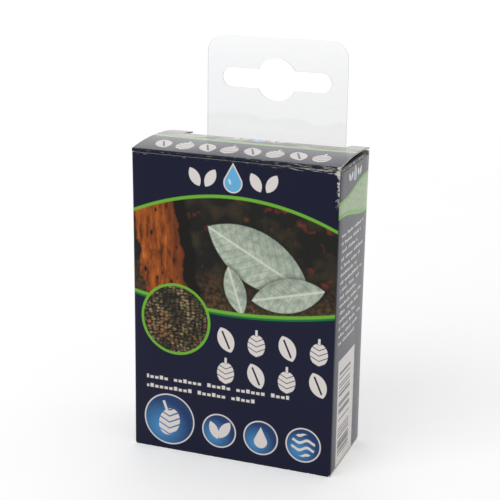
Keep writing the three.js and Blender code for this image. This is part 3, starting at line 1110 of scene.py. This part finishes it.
def smooth(made: bpy.types.Object, angle: float) -> None:
    """Shades a piece smooth except across edges sharper than an angle in degrees."""
    made.data.shade_smooth()
    made.data.set_sharp_from_angle(angle=math.radians(angle))


def soften(made: bpy.types.Object, width: float, segments: int = 2) -> None:
    """Rounds a piece's sharp edges.

    Args:
        made: the piece.
        width: the rounding in millimetres.
        segments: the steps of the rounding.
    """
    bevel = made.modifiers.new("rounded edges", "BEVEL")
    bevel.width = width * MM
    bevel.segments = segments
    bevel.limit_method = "ANGLE"
    bevel.angle_limit = math.radians(50)
    bevel.harden_normals = False


def cuboid(mesh: bmesh.types.BMesh, low: Sequence[float], high: Sequence[float]) -> list[bmesh.types.BMVert]:
    """Adds a box between two corners.

    Args:
        mesh: the mesh that it joins.
        low: its lowest corner.
        high: its highest corner.

    Returns:
        Its vertices.
    """
    size = [b - a for a, b in zip(low, high)]
    middle = [(a + b) / 2 for a, b in zip(low, high)]
    matrix = Matrix.Translation(middle) @ Matrix.Diagonal((*size, 1.0))
    return bmesh.ops.create_cube(mesh, size=1.0, matrix=matrix)["verts"]


def round_off(mesh: bmesh.types.BMesh, affect: str, geom: list, offset: float, segments: int) -> None:
    """Rounds corners or edges of a mesh while it is shaped.

    Args:
        mesh: the mesh.
        affect: VERTICES or EDGES.
        geom: the vertices or edges.
        offset: how far the rounding reaches.
        segments: its steps.
    """
    bmesh.ops.bevel(
        mesh, geom=geom, offset=offset, affect=affect, segments=segments, profile=0.5, material=-1
    )


def edges_along(mesh: bmesh.types.BMesh, axis: int, least: float) -> list[bmesh.types.BMEdge]:
    """The edges that reach along an axis by more than a length."""
    return [edge for edge in mesh.edges if abs((edge.verts[0].co - edge.verts[1].co)[axis]) > least]


def slice_up(mesh: bmesh.types.BMesh, low: Vector, high: Vector, axis: int, parts: int) -> None:
    """Cuts a mesh across an axis into equal parts.

    Args:
        mesh: the mesh.
        low: its lowest corner.
        high: its highest corner.
        axis: 0, 1 or 2, for X, Y or Z.
        parts: the number of parts.
    """
    normal = [float(axis == number) for number in range(3)]
    for cut in range(1, parts):
        place = [0.0, 0.0, 0.0]
        place[axis] = low[axis] + (high[axis] - low[axis]) * cut / parts
        geom = [*mesh.verts, *mesh.edges, *mesh.faces]
        bmesh.ops.bisect_plane(mesh, geom=geom, plane_co=place, plane_no=normal)


def of_kind(geom: Iterable, kind: type) -> list:
    """The vertices, edges or faces among the parts that an operator made."""
    return [part for part in geom if isinstance(part, kind)]


def arc(centre: Point, radius: float, start: float, stop: float, steps: int) -> list[Point]:
    """Places along an arc, both ends included.

    Args:
        centre: the arc's centre.
        radius: its radius.
        start: the angle of its first place, in radians.
        stop: the angle of its last place.
        steps: the steps between them.

    Returns:
        The places.
    """
    angles = [start + (stop - start) * step / steps for step in range(steps + 1)]
    return [(centre[0] + radius * math.cos(angle), centre[1] + radius * math.sin(angle)) for angle in angles]


def face_up(mesh: bmesh.types.BMesh) -> None:
    """Makes a sheet's faces look the same way, and its largest level face up.

    Args:
        mesh: the sheet's mesh.
    """
    bmesh.ops.recalc_face_normals(mesh, faces=mesh.faces)
    mesh.normal_update()
    flat = max(mesh.faces, key=lambda face: face.normal.z ** 2 * face.calc_area())
    if flat.normal.z < 0:
        bmesh.ops.reverse_faces(mesh, faces=mesh.faces)


@dataclass
class Board:
    """The folding boxboard: its thickness as drawn, and how worn folds and panels depart from flat."""

    thickness: float = 0.46
    bulge: float = 0.14
    edge_round: float = 0.09

    def thicken(self, mesh: bmesh.types.BMesh) -> None:
        """Gives a sheet of outside faces its thickness, inward, and marks the inside and the cut edges.

        Args:
            mesh: the sheet's mesh.
        """
        outside = {face: face.material_index for face in mesh.faces}
        bmesh.ops.solidify(mesh, geom=list(mesh.faces), thickness=self.thickness)
        mesh.normal_update()
        fresh = [face for face in mesh.faces if face not in outside]
        for face in fresh:
            face.material_index = Surface.INSIDE.value
        for face in fresh:
            if any(len(edge.link_faces) == 2 and edge.calc_face_angle(0.0) > 1.2 for edge in face.edges):
                others = {other for edge in face.edges for other in edge.link_faces if other is not face}
                if any(other in outside for other in others):
                    face.material_index = Surface.EDGE.value

    def mark(self, verts: list[bmesh.types.BMVert], axis: int, under: Surface = Surface.INSIDE) -> None:
        """Marks the two sides and the cut edges of a flat strip of board.

        Args:
            verts: the strip's vertices.
            axis: the axis that its sides face along.
            under: what the side is that faces down the axis.
        """
        for face in {face for vert in verts for face in vert.link_faces}:
            face.normal_update()
            facing = face.normal[axis]
            side = under if facing < -0.5 else Surface.INSIDE
            face.material_index = (side if abs(facing) > 0.5 else Surface.EDGE).value

    def finish(
        self, name: str, mesh: bmesh.types.BMesh, materials: Sequence[bpy.types.Material]
    ) -> bpy.types.Object:
        """Ends a board piece, with smooth shading and softened edges.

        Args:
            name: the piece's name.
            mesh: its mesh in millimetres.
            materials: the board materials in slot order.

        Returns:
            The finished piece.
        """
        made = piece(name, mesh, materials)
        smooth(made, BOARD_SMOOTH)
        soften(made, self.edge_round)
        return made


@dataclass
class CartonBody:
    """The walls, the glued seam and the glued bottom end."""

    board: Board
    low: Vector
    high: Vector
    front_top: float = 85.76
    side_top: float = 84.97
    corner: float = 0.7
    seam_width: float = 10.0
    seam_head: float = 72.0
    seam_foot: float = 2.0
    seam_taper: float = 3.0
    glue_gap: float = 0.05
    flap_reach: float = 20.0
    flap_inset: float = 0.25
    panel_parts: tuple[int, int, int] = (13, 7, 19)

    def tube(self) -> bmesh.types.BMesh:
        """The four walls as one sheet folded round: rounded corners, slightly full panels, cut tops.

        Returns:
            The mesh, in millimetres.
        """
        mesh = bmesh.new()
        cuboid(mesh, self.low, self.high)
        ends = [face for face in mesh.faces if abs(face.normal.z) > 0.5]
        bmesh.ops.delete(mesh, geom=ends, context="FACES_ONLY")
        round_off(mesh, "EDGES", edges_along(mesh, 2, 1.0), self.corner, 4)
        for axis, parts in enumerate(self.panel_parts):
            slice_up(mesh, self.low, self.high, axis, parts)
        for vert in mesh.verts:
            self.place_rim(vert)
        self.fill_out(mesh)
        return mesh

    def place_rim(self, vert: bmesh.types.BMVert) -> None:
        """Sets the height of a vertex on the tube's open ends, by the wall that it belongs to.

        Args:
            vert: the vertex.
        """
        side = abs(vert.co.x) > self.high.x - 0.05
        rear = vert.co.y > 0
        if vert.co.z > self.high.z - 0.1:
            vert.co.z = self.side_top if side else (self.high.z if rear else self.front_top)
        elif vert.co.z < 0.1:
            vert.co.z = 2 * CAD_BOARD if side else (CAD_BOARD if rear else 0.0)

    def fill_out(self, mesh: bmesh.types.BMesh) -> None:
        """Draws the panels' edges in a little, as a carton pressed from inside stands.

        Args:
            mesh: the tube's mesh.
        """
        for vert in mesh.verts:
            up = math.sin(math.pi * min(1.0, max(0.0, vert.co.z / self.high.z)))
            for along, across in ((0, 1), (1, 0)):
                middle = max(0.0, math.cos(math.pi / 2 * vert.co[across] / self.high[across])) ** 1.5
                drawn = self.board.bulge * up * (1 - middle) * abs(vert.co[along]) / self.high[along]
                vert.co[along] -= math.copysign(drawn, vert.co[along])

    def surface_of(self, face: bmesh.types.BMFace) -> Surface:
        """The side of the carton that a face of the tube belongs to.

        Args:
            face: the face.

        Returns:
            Its side.
        """
        normal, centre = face.normal, face.calc_center_median()
        if centre.x > 0 and centre.y > self.high.y - self.corner * 0.8 and normal.x > 0.35:
            return Surface.EDGE
        if abs(normal.y) >= abs(normal.x):
            return Surface.FRONT if normal.y < 0 else Surface.BACK
        return Surface.RIGHT if normal.x > 0 else Surface.LEFT

    def build(self, materials: Sequence[bpy.types.Material]) -> bpy.types.Object:
        """Makes the body.

        Args:
            materials: the board materials in slot order.

        Returns:
            The finished piece.
        """
        mesh = self.tube()
        mesh.normal_update()
        for face in mesh.faces:
            face.material_index = self.surface_of(face).value
        self.board.thicken(mesh)
        self.add_bottom(mesh)
        self.add_seam(mesh)
        return self.board.finish("carton_board", mesh, materials)

    def add_flap(
        self, mesh: bmesh.types.BMesh, low: Point, high: Point, level: float, surface: Surface
    ) -> None:
        """Adds one flat flap of the bottom end.

        Args:
            mesh: the carton's mesh.
            low: its lowest x and y.
            high: its highest x and y.
            level: the height of its underside.
            surface: what its underside is.
        """
        verts = cuboid(mesh, (*low, level), (*high, level + self.board.thickness))
        self.board.mark(verts, 2, surface)

    def add_bottom(self, mesh: bmesh.types.BMesh) -> None:
        """Adds the outer, the inner and the two side flaps of the bottom end.

        Args:
            mesh: the carton's mesh.
        """
        x, y = self.high.x - self.flap_inset, self.high.y
        self.add_flap(mesh, (-x, -y + 0.02), (x, y - 0.3), 0.02, Surface.PLAIN)
        self.add_flap(mesh, (-x, -y + 0.5), (x, y - 0.02), CAD_BOARD, Surface.PLAIN)
        for side in (-1, 1):
            near, far = side * (x - 0.1), side * (x - self.flap_reach)
            low, high = (min(near, far), -y + 0.8), (max(near, far), y - 0.8)
            self.add_flap(mesh, low, high, 2 * CAD_BOARD, Surface.INSIDE)

    def add_seam(self, mesh: bmesh.types.BMesh) -> None:
        """Adds the glued strip inside the rear wall, beside the right corner.

        Args:
            mesh: the carton's mesh.
        """
        outer = self.high.x - self.board.thickness - self.glue_gap
        rear = self.high.y - self.board.thickness - self.glue_gap
        low = (outer - self.seam_width, rear - self.board.thickness, self.seam_foot)
        verts = cuboid(mesh, low, (outer, rear, self.seam_head))
        for vert in verts:
            if vert.co.x < outer - 1.0:
                vert.co.z += math.copysign(self.seam_taper, self.seam_head / 2 - vert.co.z)
        self.board.mark(verts, 1)


@dataclass
class Lid:
    """The closing panel: crease, bowed panel, flat ears, the roll and the tuck flap behind it."""

    board: Board
    low: Vector
    high: Vector
    hinge: Vector
    top: float
    crease: float = 0.5
    bow: float = 1.0
    bend: float = 5.4
    left_ear: float = 6.4
    right_ear: float = 5.1
    roll: float = 1.5
    roll_gap: float = 0.25
    roll_drop: float = 0.5
    tuck: float = 10.0
    tuck_half: float = 28.2
    tuck_corner: float = 6.0
    slit: float = 1.1
    neck: float = 0.4
    columns: int = 18
    round_steps: int = 8
    panel_steps: int = 8
    bend_steps: int = 5

    def lift(self, y: float) -> float:
        """How far the panel bows up over its edges at a place from front to rear."""
        share = (y - self.hinge.y) / (self.high.y - self.hinge.y)
        return 4 * self.bow * share * (1 - share)

    def bowed(self, start: float, stop: float, steps: int) -> list[Point]:
        """Places along the bowed panel, after its start, as y and z.

        Args:
            start: the y that it starts from, which is left out.
            stop: the y of the last place.
            steps: the number of places.

        Returns:
            The places.
        """
        places = [start + (stop - start) * step / steps for step in range(1, steps + 1)]
        return [(y, self.top + self.lift(y)) for y in places]

    def stretch(self, mesh: bmesh.types.BMesh, edges: list, path: Sequence[Point]) -> list:
        """Draws a row of edges along a path of (y, z) places.

        Args:
            mesh: the mesh that they belong to.
            edges: the row of edges, all at one y and z.
            path: the places that the row moves through.

        Returns:
            The last row of edges.
        """
        for y, z in path:
            grown = bmesh.ops.extrude_edge_only(mesh, edges=edges)["geom"]
            for vert in of_kind(grown, bmesh.types.BMVert):
                vert.co.y, vert.co.z = y, z
            edges = of_kind(grown, bmesh.types.BMEdge)
        return edges

    def slits(self) -> tuple[float, float]:
        """Where the two slits between the ears and the middle lie across the lid."""
        return self.low.x + self.left_ear, self.high.x - self.right_ear

    def first_row(self, mesh: bmesh.types.BMesh) -> list:
        """The row of edges at the underside of the crease, split at the slits.

        Args:
            mesh: the lid's mesh.

        Returns:
            The edges, from left to right.
        """
        left, right = self.slits()
        places = [self.low.x, self.low.x + self.left_ear / 2, left]
        places += [left + (right - left) * step / self.columns for step in range(1, self.columns + 1)]
        places += [self.high.x - self.right_ear / 2, self.high.x]
        verts = [mesh.verts.new((x, self.hinge.y, self.hinge.z - self.crease)) for x in places]
        return [mesh.edges.new(pair) for pair in zip(verts, verts[1:])]

    def build(self, materials: Sequence[bpy.types.Material]) -> bpy.types.Object:
        """Makes the lid.

        Args:
            materials: the board materials in slot order.

        Returns:
            The finished piece.
        """
        mesh = bmesh.new()
        foot, head = math.radians(270), math.radians(90)
        crease = arc((self.hinge.y, self.hinge.z), self.crease, foot, head, self.round_steps)[1:]
        edges = self.stretch(mesh, self.first_row(mesh), crease)
        centre_y = self.high.y - CAD_BOARD - self.roll_gap - self.roll
        bend_at = centre_y - self.bend
        edges = self.stretch(mesh, edges, self.bowed(self.hinge.y, bend_at, self.panel_steps))
        left, right = self.slits()
        middle = [
            edge for edge in edges if all(left - NEAR < vert.co.x < right + NEAR for vert in edge.verts)
        ]
        for side in (-1, 1):
            ear = [edge for edge in edges if edge not in middle and edge.verts[0].co.x * side > 0]
            self.stretch(mesh, ear, self.bowed(bend_at, self.high.y, self.bend_steps))
        self.add_rear(mesh, middle, bend_at, centre_y)
        bmesh.ops.remove_doubles(mesh, verts=mesh.verts, dist=MERGE_DISTANCE)
        face_up(mesh)
        for face in mesh.faces:
            centre = face.calc_center_median()
            surface = Surface.LID
            if centre.y < self.hinge.y and centre.z < self.top - self.crease * 0.3:
                surface = Surface.FRONT
            elif centre.y > 0 and centre.z < self.top - self.roll_drop - self.roll:
                surface = Surface.PLAIN
            face.material_index = surface.value
        self.board.thicken(mesh)
        return self.board.finish("lid_board", mesh, materials)

    def add_rear(self, mesh: bmesh.types.BMesh, edges: list, start: float, centre: float) -> None:
        """Adds what lies behind the panel between the slits: the bend, the roll and the tuck flap.

        Args:
            mesh: the lid's mesh.
            edges: the row of edges where the bend starts.
            start: the y of that row.
            centre: the y of the roll's centre.
        """
        drop = self.roll_drop + self.lift(centre)
        path = []
        for step, (y, z) in enumerate(self.bowed(start, centre, self.bend_steps), 1):
            path.append((y, z - drop * (step / self.bend_steps) ** 2))
        lean = math.asin((self.tuck / 2 + self.roll) / (centre + self.roll - self.hinge.y))
        level = self.top - self.roll_drop - self.roll
        path += arc((centre, level), self.roll, math.pi / 2, -lean, self.round_steps)[1:]
        y, z = path[-1]
        shoulder = level - self.slit
        into = min(self.slit, z - shoulder) if z > shoulder else self.neck
        down = (-math.sin(lean), -math.cos(lean))
        path.append((y + down[0] * into, z + down[1] * into))
        self.add_tuck(mesh, self.stretch(mesh, edges, path), down, into)

    def add_tuck(self, mesh: bmesh.types.BMesh, edges: list, down: Point, used: float) -> None:
        """Adds the wider part of the tuck flap below its shoulders, with round lower corners.

        Args:
            mesh: the lid's mesh.
            edges: the row of edges at the shoulders.
            down: the direction of the flap, in y and z.
            used: how much of the flap's length is above the shoulders.
        """
        left = self.tuck - used
        y, z = edges[0].verts[0].co.y, edges[0].verts[0].co.z
        ends = sorted({vert for edge in edges for vert in edge.verts}, key=lambda vert: vert.co.x)
        wide = []
        for side, vert in ((-1, ends[0]), (1, ends[-1])):
            grown = bmesh.ops.extrude_vert_indiv(mesh, verts=[vert])
            grown["verts"][0].co.x = side * self.tuck_half
            wide += grown["edges"]
        rim = [*edges, *wide]
        rows = self.stretch(mesh, rim, [(y + down[0] * left, z + down[1] * left)])
        ends = {vert for edge in rows for vert in edge.verts if abs(vert.co.x) > self.tuck_half - NEAR}
        tips = sorted(ends, key=lambda vert: vert.co.x)
        round_off(mesh, "VERTICES", tips, self.tuck_corner, 6)


@dataclass
class DustFlap:
    """One of the two flaps under the lid, folded in from the top of its side wall."""

    board: Board
    side: int
    low: Vector
    high: Vector
    hinge: Vector
    crease: float = 0.5
    taper: float = 0.34
    rear_cut: float = 5.0
    tip_round: float = 1.2
    fold_turn: float = 175.0

    def build(self, name: str, materials: Sequence[bpy.types.Material]) -> bpy.types.Object:
        """Makes the flap.

        Args:
            name: the piece's name.
            materials: the board materials in slot order.

        Returns:
            The finished piece.
        """
        side, rim, level = self.side, self.hinge.x, self.hinge.z + self.crease
        tip = self.low.x if side > 0 else self.high.x
        reach = abs(rim - tip)
        outline = (
            (rim, self.low.y),
            (tip, self.low.y + self.taper * reach),
            (tip, self.high.y - self.rear_cut),
            (tip + side * self.rear_cut, self.high.y),
            (rim, self.high.y),
        )
        mesh = bmesh.new()
        verts = [mesh.verts.new((x, y, level)) for x, y in outline]
        mesh.faces.new(verts)
        round_off(mesh, "VERTICES", verts[1:4], self.tip_round, 4)
        fold = [
            edge for edge in mesh.edges if all(abs(vert.co.x - rim) < MERGE_DISTANCE for vert in edge.verts)
        ]
        bmesh.ops.spin(
            mesh, geom=fold, cent=self.hinge, axis=(0, 1, 0), angle=side * math.radians(self.fold_turn),
            steps=8, use_merge=False, use_duplicate=False, dvec=(0, 0, 0),
        )
        bmesh.ops.remove_doubles(mesh, verts=mesh.verts, dist=MERGE_DISTANCE)
        face_up(mesh)
        for face in mesh.faces:
            face.material_index = Surface.PLAIN.value
        self.board.thicken(mesh)
        return self.board.finish(name, mesh, materials)


@dataclass
class HangTab:
    """The clear plastic tab with its hanging slot, and the adhesive that holds it."""

    low: Vector
    high: Vector
    corner: float = 5.0
    slot_level: float = 103.3
    slot_width: float = 32.0
    slot_height: float = 5.5
    slot_round: float = 12.0
    edge_round: float = 0.08
    arc_steps: int = 14
    glue_corner: float = 2.0
    glue_parts: int = 14
    glue_waver: float = 0.35
    seed: int = 5

    def slot_places(self) -> list[Point]:
        """The outline of the slot: two round ends, and a round opening in its middle.

        Returns:
            The outline's places, as x and z.
        """
        centre = (self.low.x + self.high.x) / 2
        end, middle = self.slot_height / 2, self.slot_round / 2
        reach = self.slot_width / 2 - end
        shoulder = math.asin(end / middle)
        arcs = (
            (centre + reach, end, -math.pi / 2, math.pi / 2),
            (centre, middle, shoulder, math.pi - shoulder),
            (centre - reach, end, math.pi / 2, math.pi * 1.5),
            (centre, middle, math.pi + shoulder, math.tau - shoulder),
        )
        places = []
        for x, radius, start, stop in arcs:
            places += arc((x, self.slot_level), radius, start, stop, self.arc_steps)
        return places

    def build(self, films: Sequence[bpy.types.Material]) -> bpy.types.Object:
        """Makes the tab from its outline and its slot, both filled as one face with a hole.

        Args:
            films: the materials of its faces and of its cut edges.

        Returns:
            The finished piece.
        """
        mesh = bmesh.new()
        y = self.low.y
        left, foot, right, head = self.low.x, self.low.z, self.high.x, self.high.z
        corners = ((left, foot), (right, foot), (right, head), (left, head))
        verts = [mesh.verts.new((x, y, z)) for x, z in corners]
        mesh.faces.new(verts)
        round_off(mesh, "VERTICES", verts, self.corner, 12)
        mesh.faces.new([mesh.verts.new((x, y, z)) for x, z in self.slot_places()])
        bmesh.ops.delete(mesh, geom=list(mesh.faces), context="FACES_ONLY")
        bmesh.ops.triangle_fill(mesh, edges=list(mesh.edges), use_beauty=True, use_dissolve=False)
        bmesh.ops.recalc_face_normals(mesh, faces=mesh.faces)
        mesh.normal_update()
        if next(iter(mesh.faces)).normal.y > 0:
            bmesh.ops.reverse_faces(mesh, faces=mesh.faces)
        thick = self.high.y - self.low.y
        grown = bmesh.ops.extrude_face_region(mesh, geom=list(mesh.faces))["geom"]
        bmesh.ops.translate(mesh, vec=(0, thick, 0), verts=of_kind(grown, bmesh.types.BMVert))
        bmesh.ops.recalc_face_normals(mesh, faces=mesh.faces)
        mesh.normal_update()
        for face in mesh.faces:
            face.material_index = int(abs(face.normal.y) < 0.5)
        made = piece("hang_tab_film", mesh, films)
        smooth(made, FILM_SMOOTH)
        soften(made, self.edge_round)
        return made

    def build_glue(self, low: Vector, high: Vector, glue: bpy.types.Material) -> bpy.types.Object:
        """Makes the adhesive layer: a thin pad with round, slightly uneven edges.

        Args:
            low: its lowest corner.
            high: its highest corner.
            glue: its material.

        Returns:
            The finished piece.
        """
        mesh = bmesh.new()
        slack = Vector((0.0, 0.02, 0.0))
        cuboid(mesh, low + slack, high - slack)
        round_off(mesh, "EDGES", edges_along(mesh, 1, NEAR), self.glue_corner, 5)
        slice_up(mesh, low, high, 0, self.glue_parts)
        draw = random.Random(self.seed)
        middle = (low.z + high.z) / 2
        for vert in mesh.verts:
            if abs(vert.co.z - middle) > (high.z - low.z) / 2 - 0.05:
                vert.co.z -= math.copysign(draw.uniform(0.0, self.glue_waver), vert.co.z - middle)
        made = piece("tab_glue", mesh, [glue])
        smooth(made, FILM_SMOOTH)
        return made


@dataclass
class ConeHeap:
    """The loose alder cones: one woody cone made of overlapping scales, laid where each CAD cone lies."""

    scales: int = 78
    golden_turn: float = 0.381966
    taper: float = 0.16
    stalk_length: float = 2.2
    stalk_share: float = 0.145
    seed: int = 3
    heaps: int = 5

    def template(self) -> bmesh.types.BMesh:
        """One cone of length 1 and width 1 along Z: a core, a spiral of scales and a stalk.

        Returns:
            The cone's mesh.
        """
        mesh = bmesh.new()
        bmesh.ops.create_uvsphere(
            mesh, u_segments=12, v_segments=8, radius=0.5, matrix=Matrix.Diagonal((0.74, 0.74, 0.90, 1.0))
        )
        for number in range(self.scales):
            along = -0.97 + 1.95 * (number + 0.5) / self.scales
            self.add_scale(mesh, along, math.tau * self.golden_turn * number)
        for vert in mesh.verts:
            slim = 1 - self.taper * (0.5 + vert.co.z)
            vert.co.x *= slim
            vert.co.y *= slim
        reach = max(vert.co.xy.length for vert in mesh.verts)
        tall = max(abs(vert.co.z) for vert in mesh.verts)
        bmesh.ops.scale(mesh, vec=(0.5 / reach, 0.5 / reach, 0.5 / tall), verts=mesh.verts)
        foot = 0.5 + self.stalk_share
        bmesh.ops.create_cone(
            mesh, cap_ends=True, segments=8, radius1=0.085, radius2=0.06, depth=foot - 0.35,
            matrix=Matrix.Translation((0, 0, -(foot + 0.35) / 2)),
        )
        return mesh

    def add_scale(self, mesh: bmesh.types.BMesh, along: float, turn: float) -> None:
        """Adds one wedge-shaped woody scale with a blunt, slightly raised outer end.

        Args:
            mesh: the cone's mesh.
            along: the place along the cone, from -1 at the stalk to 1 at the tip.
            turn: the angle round the cone.
        """
        ring = math.sqrt(max(0.0, 1 - along * along))
        small = 0.46 + 0.54 * ring
        wide, deep, thick = 0.150 * small, 0.17 * small, 0.052 * small
        lean = math.atan2(along, max(ring, 0.12)) * 0.85 + 0.28
        place = Vector((0.0, 0.5 * ring * 0.84, 0.5 * along * 0.93))
        matrix = (
            Matrix.Rotation(turn, 4, "Z")
            @ Matrix.Translation(place)
            @ Matrix.Rotation(lean, 4, "X")
            @ Matrix.Diagonal((wide, 1.0, thick, 1.0))
            @ Matrix.Rotation(-math.pi / 2, 4, "X")
        )
        made = bmesh.ops.create_cone(
            mesh, cap_ends=True, segments=8, radius1=0.4, radius2=1.0, depth=2 * deep, matrix=matrix
        )
        faces = {face for vert in made["verts"] for face in vert.link_faces}
        outer = max(faces, key=lambda face: face.calc_center_median().length_squared)
        bmesh.ops.inset_individual(mesh, faces=[outer], thickness=0.018 * small, depth=0.012 * small)

    def pose_of(self, node: bpy.types.Object) -> Matrix:
        """Where a CAD cone lies, as the matrix that lays the template there, in millimetres.

        Args:
            node: the CAD cone, an egg whose only uneven end is its stalk.

        Returns:
            The matrix.
        """
        places = [vert.co / MM for vert in node.data.vertices]
        faces = node.data.polygons
        area = sum(face.area for face in faces)
        middle = sum((face.center * face.area for face in faces), Vector()) / area / MM
        foot = max(places, key=lambda place: (place - middle).length_squared)
        tip = max(places, key=lambda place: (place - foot).length_squared)
        axis = (tip - middle).normalized()
        length = max((tip - place).dot(axis) for place in places) - self.stalk_length
        wide = max((place - tip - axis * (place - tip).dot(axis)).length for place in places)
        turn = axis.to_track_quat("Z", "Y").to_matrix().to_4x4()
        size = Matrix.Diagonal((2 * wide, 2 * wide, length, 1.0))
        return Matrix.Translation(tip - axis * length / 2) @ turn @ size

    def build(self, nodes: dict[str, bpy.types.Object], wood: bpy.types.Material) -> list[bpy.types.Object]:
        """Makes the heap as a few pieces, each standing for a run of CAD cones.

        Args:
            nodes: the CAD cones by name.
            wood: their material.

        Returns:
            The pieces.
        """
        template = self.template()
        bmesh.ops.recalc_face_normals(template, faces=template.faces)
        data = bpy.data.meshes.new("alder_cone_template")
        template.to_mesh(data)
        template.free()
        draw = random.Random(self.seed)
        names = sorted(nodes)
        share = math.ceil(len(names) / self.heaps)
        made = []
        for heap in range(self.heaps):
            mesh = bmesh.new()
            run = names[heap * share:(heap + 1) * share]
            for name in run:
                before = len(mesh.verts)
                mesh.from_mesh(data)
                mesh.verts.ensure_lookup_table()
                spin = Matrix.Rotation(draw.uniform(0, math.tau), 4, "Z")
                bmesh.ops.transform(mesh, matrix=self.pose_of(nodes[name]) @ spin, verts=mesh.verts[before:])
            cones = piece(f"alder_cones_{heap + 1}", mesh, [wood])
            smooth(cones, BOARD_SMOOTH)
            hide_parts(*run)
            made.append(cones)
        bpy.data.meshes.remove(data)
        return made


@dataclass
class Studio:
    """A pale floor, soft light and the camera."""

    lens: float = 92.44
    eye: tuple[float, float, float] = (119.40, -320.37, 159.61)
    azimuth: float = 20.44
    pitch: float = 16.59
    roll: float = 0.82
    world: float = 0.45
    key: float = 4.5
    overhead: float = 1.2
    rear: float = 5.0
    glow: float = 0.30
    floor: Colour = (0.94, 0.94, 0.94)

    def camera(self) -> None:
        """Sets up the camera where the photograph was taken from."""
        data = bpy.data.cameras.new("camera")
        data.lens = self.lens
        data.sensor_width = 36.0
        data.clip_start = 0.01
        made = link("camera", data)
        turn = (
            Matrix.Rotation(math.radians(self.azimuth), 4, "Z")
            @ Matrix.Rotation(math.radians(90 - self.pitch), 4, "X")
            @ Matrix.Rotation(math.radians(self.roll), 4, "Z")
        )
        made.matrix_world = Matrix.Translation(Vector(self.eye) * MM) @ turn
        bpy.context.scene.camera = made

    def ground(self) -> None:
        """Lays the pale floor."""
        recipe = Recipe("pale floor")
        grain = recipe.noise(recipe.place(), 0.02, 2.0)
        tone = recipe.mix(self.floor, tuple(0.985 * share for share in self.floor), grain)
        material = recipe.finish(
            Base_Color=tone,
            Roughness=0.9,
            Specular_IOR_Level=0.1,
            Emission_Color=(1.0, 1.0, 1.0),
            Emission_Strength=self.glow,
        )
        mesh = bmesh.new()
        bmesh.ops.create_grid(mesh, x_segments=2, y_segments=2, size=6000.0)
        floor = piece("floor", mesh, [material])

    def lights(self) -> None:
        """Sets an even white surround, a soft key lamp, an overhead softbox and a bright rear panel."""
        world = bpy.data.worlds.new("soft surround")
        bpy.context.scene.world = world
        world.use_nodes = True
        shade = world.node_tree.nodes["Background"]
        shade.inputs["Color"].default_value = (1.0, 1.0, 1.0, 1.0)
        shade.inputs["Strength"].default_value = self.world
        self.lamp("soft key", (-0.45, -0.85, 0.75), (0.9, 0.9), self.key)
        self.lamp("overhead softbox", (0.1, 0.2, 1.1), (0.9, 0.7), self.overhead)
        self.lamp("rear panel", (-0.4, 1.3, 0.5), (1.6, 0.9), self.rear)
        bpy.context.scene.view_settings.view_transform = "Standard"

    def lamp(self, name: str, place: Sequence[float], size: Point, power: float) -> None:
        """Hangs one rectangular lamp that shines at the carton.

        Args:
            name: the lamp's name.
            place: where it hangs, in metres.
            size: its width and height, in metres.
            power: its power in watts.
        """
        lamp = bpy.data.lights.new(name, "AREA")
        lamp.shape = "RECTANGLE"
        lamp.size, lamp.size_y = size
        lamp.energy = power
        made = link(name, lamp)
        place = Vector(place)
        aim = Vector((0.0, 0.0, 0.05)) - place
        made.matrix_world = Matrix.Translation(place) @ aim.to_track_quat("-Z", "Y").to_matrix().to_4x4()


def in_mm(node: str) -> tuple[Vector, Vector]:
    """A CAD node's lowest and highest corners, in millimetres."""
    low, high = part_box(node)
    return low / MM, high / MM


def hinge_of(name: str) -> Vector:
    """A point on a joint's axis, in millimetres."""
    joint = next(joint for joint in frame["joints"] if joint["name"] == name)
    return Vector(joint["pos_m"]) / MM


def settle(made: bpy.types.Object, body: str, slot: str, *nodes: str) -> None:
    """Ties a finished piece to the frame, and reports it.

    Args:
        made: the piece.
        body: the body that it rides on.
        slot: not used.
        nodes: the CAD nodes that it stands for.
    """
    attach(made, body)
    if nodes:
        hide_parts(*nodes)
    log.info("%s: %d faces, rides on %s", made.name, len(made.data.polygons), body)


def main() -> None:
    """Builds the camera, the carton and its contents, and the studio."""
    logging.basicConfig(level=logging.INFO, format="%(name)s: %(message)s")
    studio = Studio()
    studio.camera()
    low, high = in_mm("carton_body")
    lid_low, lid_high = in_mm("lid")
    hinge = hinge_of("lid_hinge")
    top = hinge.z + CAD_BOARD
    finishes = Finishes(high.x - low.x, high.y - low.y, top)
    board = Board()
    body = CartonBody(board, low, high).build(finishes.board)
    settle(body, "carton", "printed_board", "carton_body")
    lid = Lid(board, lid_low, lid_high, hinge, top).build(finishes.board)
    settle(lid, "lid", "printed_board", "lid")
    for side, word in ((-1, "left"), (1, "right")):
        name = f"dust_flap_{word}"
        flap_low, flap_high = in_mm(name)
        flap = DustFlap(board, side, flap_low, flap_high, hinge_of(f"{name}_hinge"))
        settle(flap.build(f"dust_board_{word}", finishes.board), name, "bare_board", name)
    tab = HangTab(*in_mm("hang_tab"))
    settle(tab.build(finishes.film), "carton", "clear_film", "hang_tab")
    glue = tab.build_glue(*in_mm("tab_adhesive"), finishes.glue)
    settle(glue, "carton", "adhesive", "tab_adhesive")
    cones = {name: node for name, node in frame["nodes"].items() if name.startswith("alder_cone")}
    for heap in ConeHeap().build(cones, finishes.wood):
        settle(heap, "carton", "cone_wood")
    studio.ground()
    studio.lights()


if __name__ == "__main__":
    main()
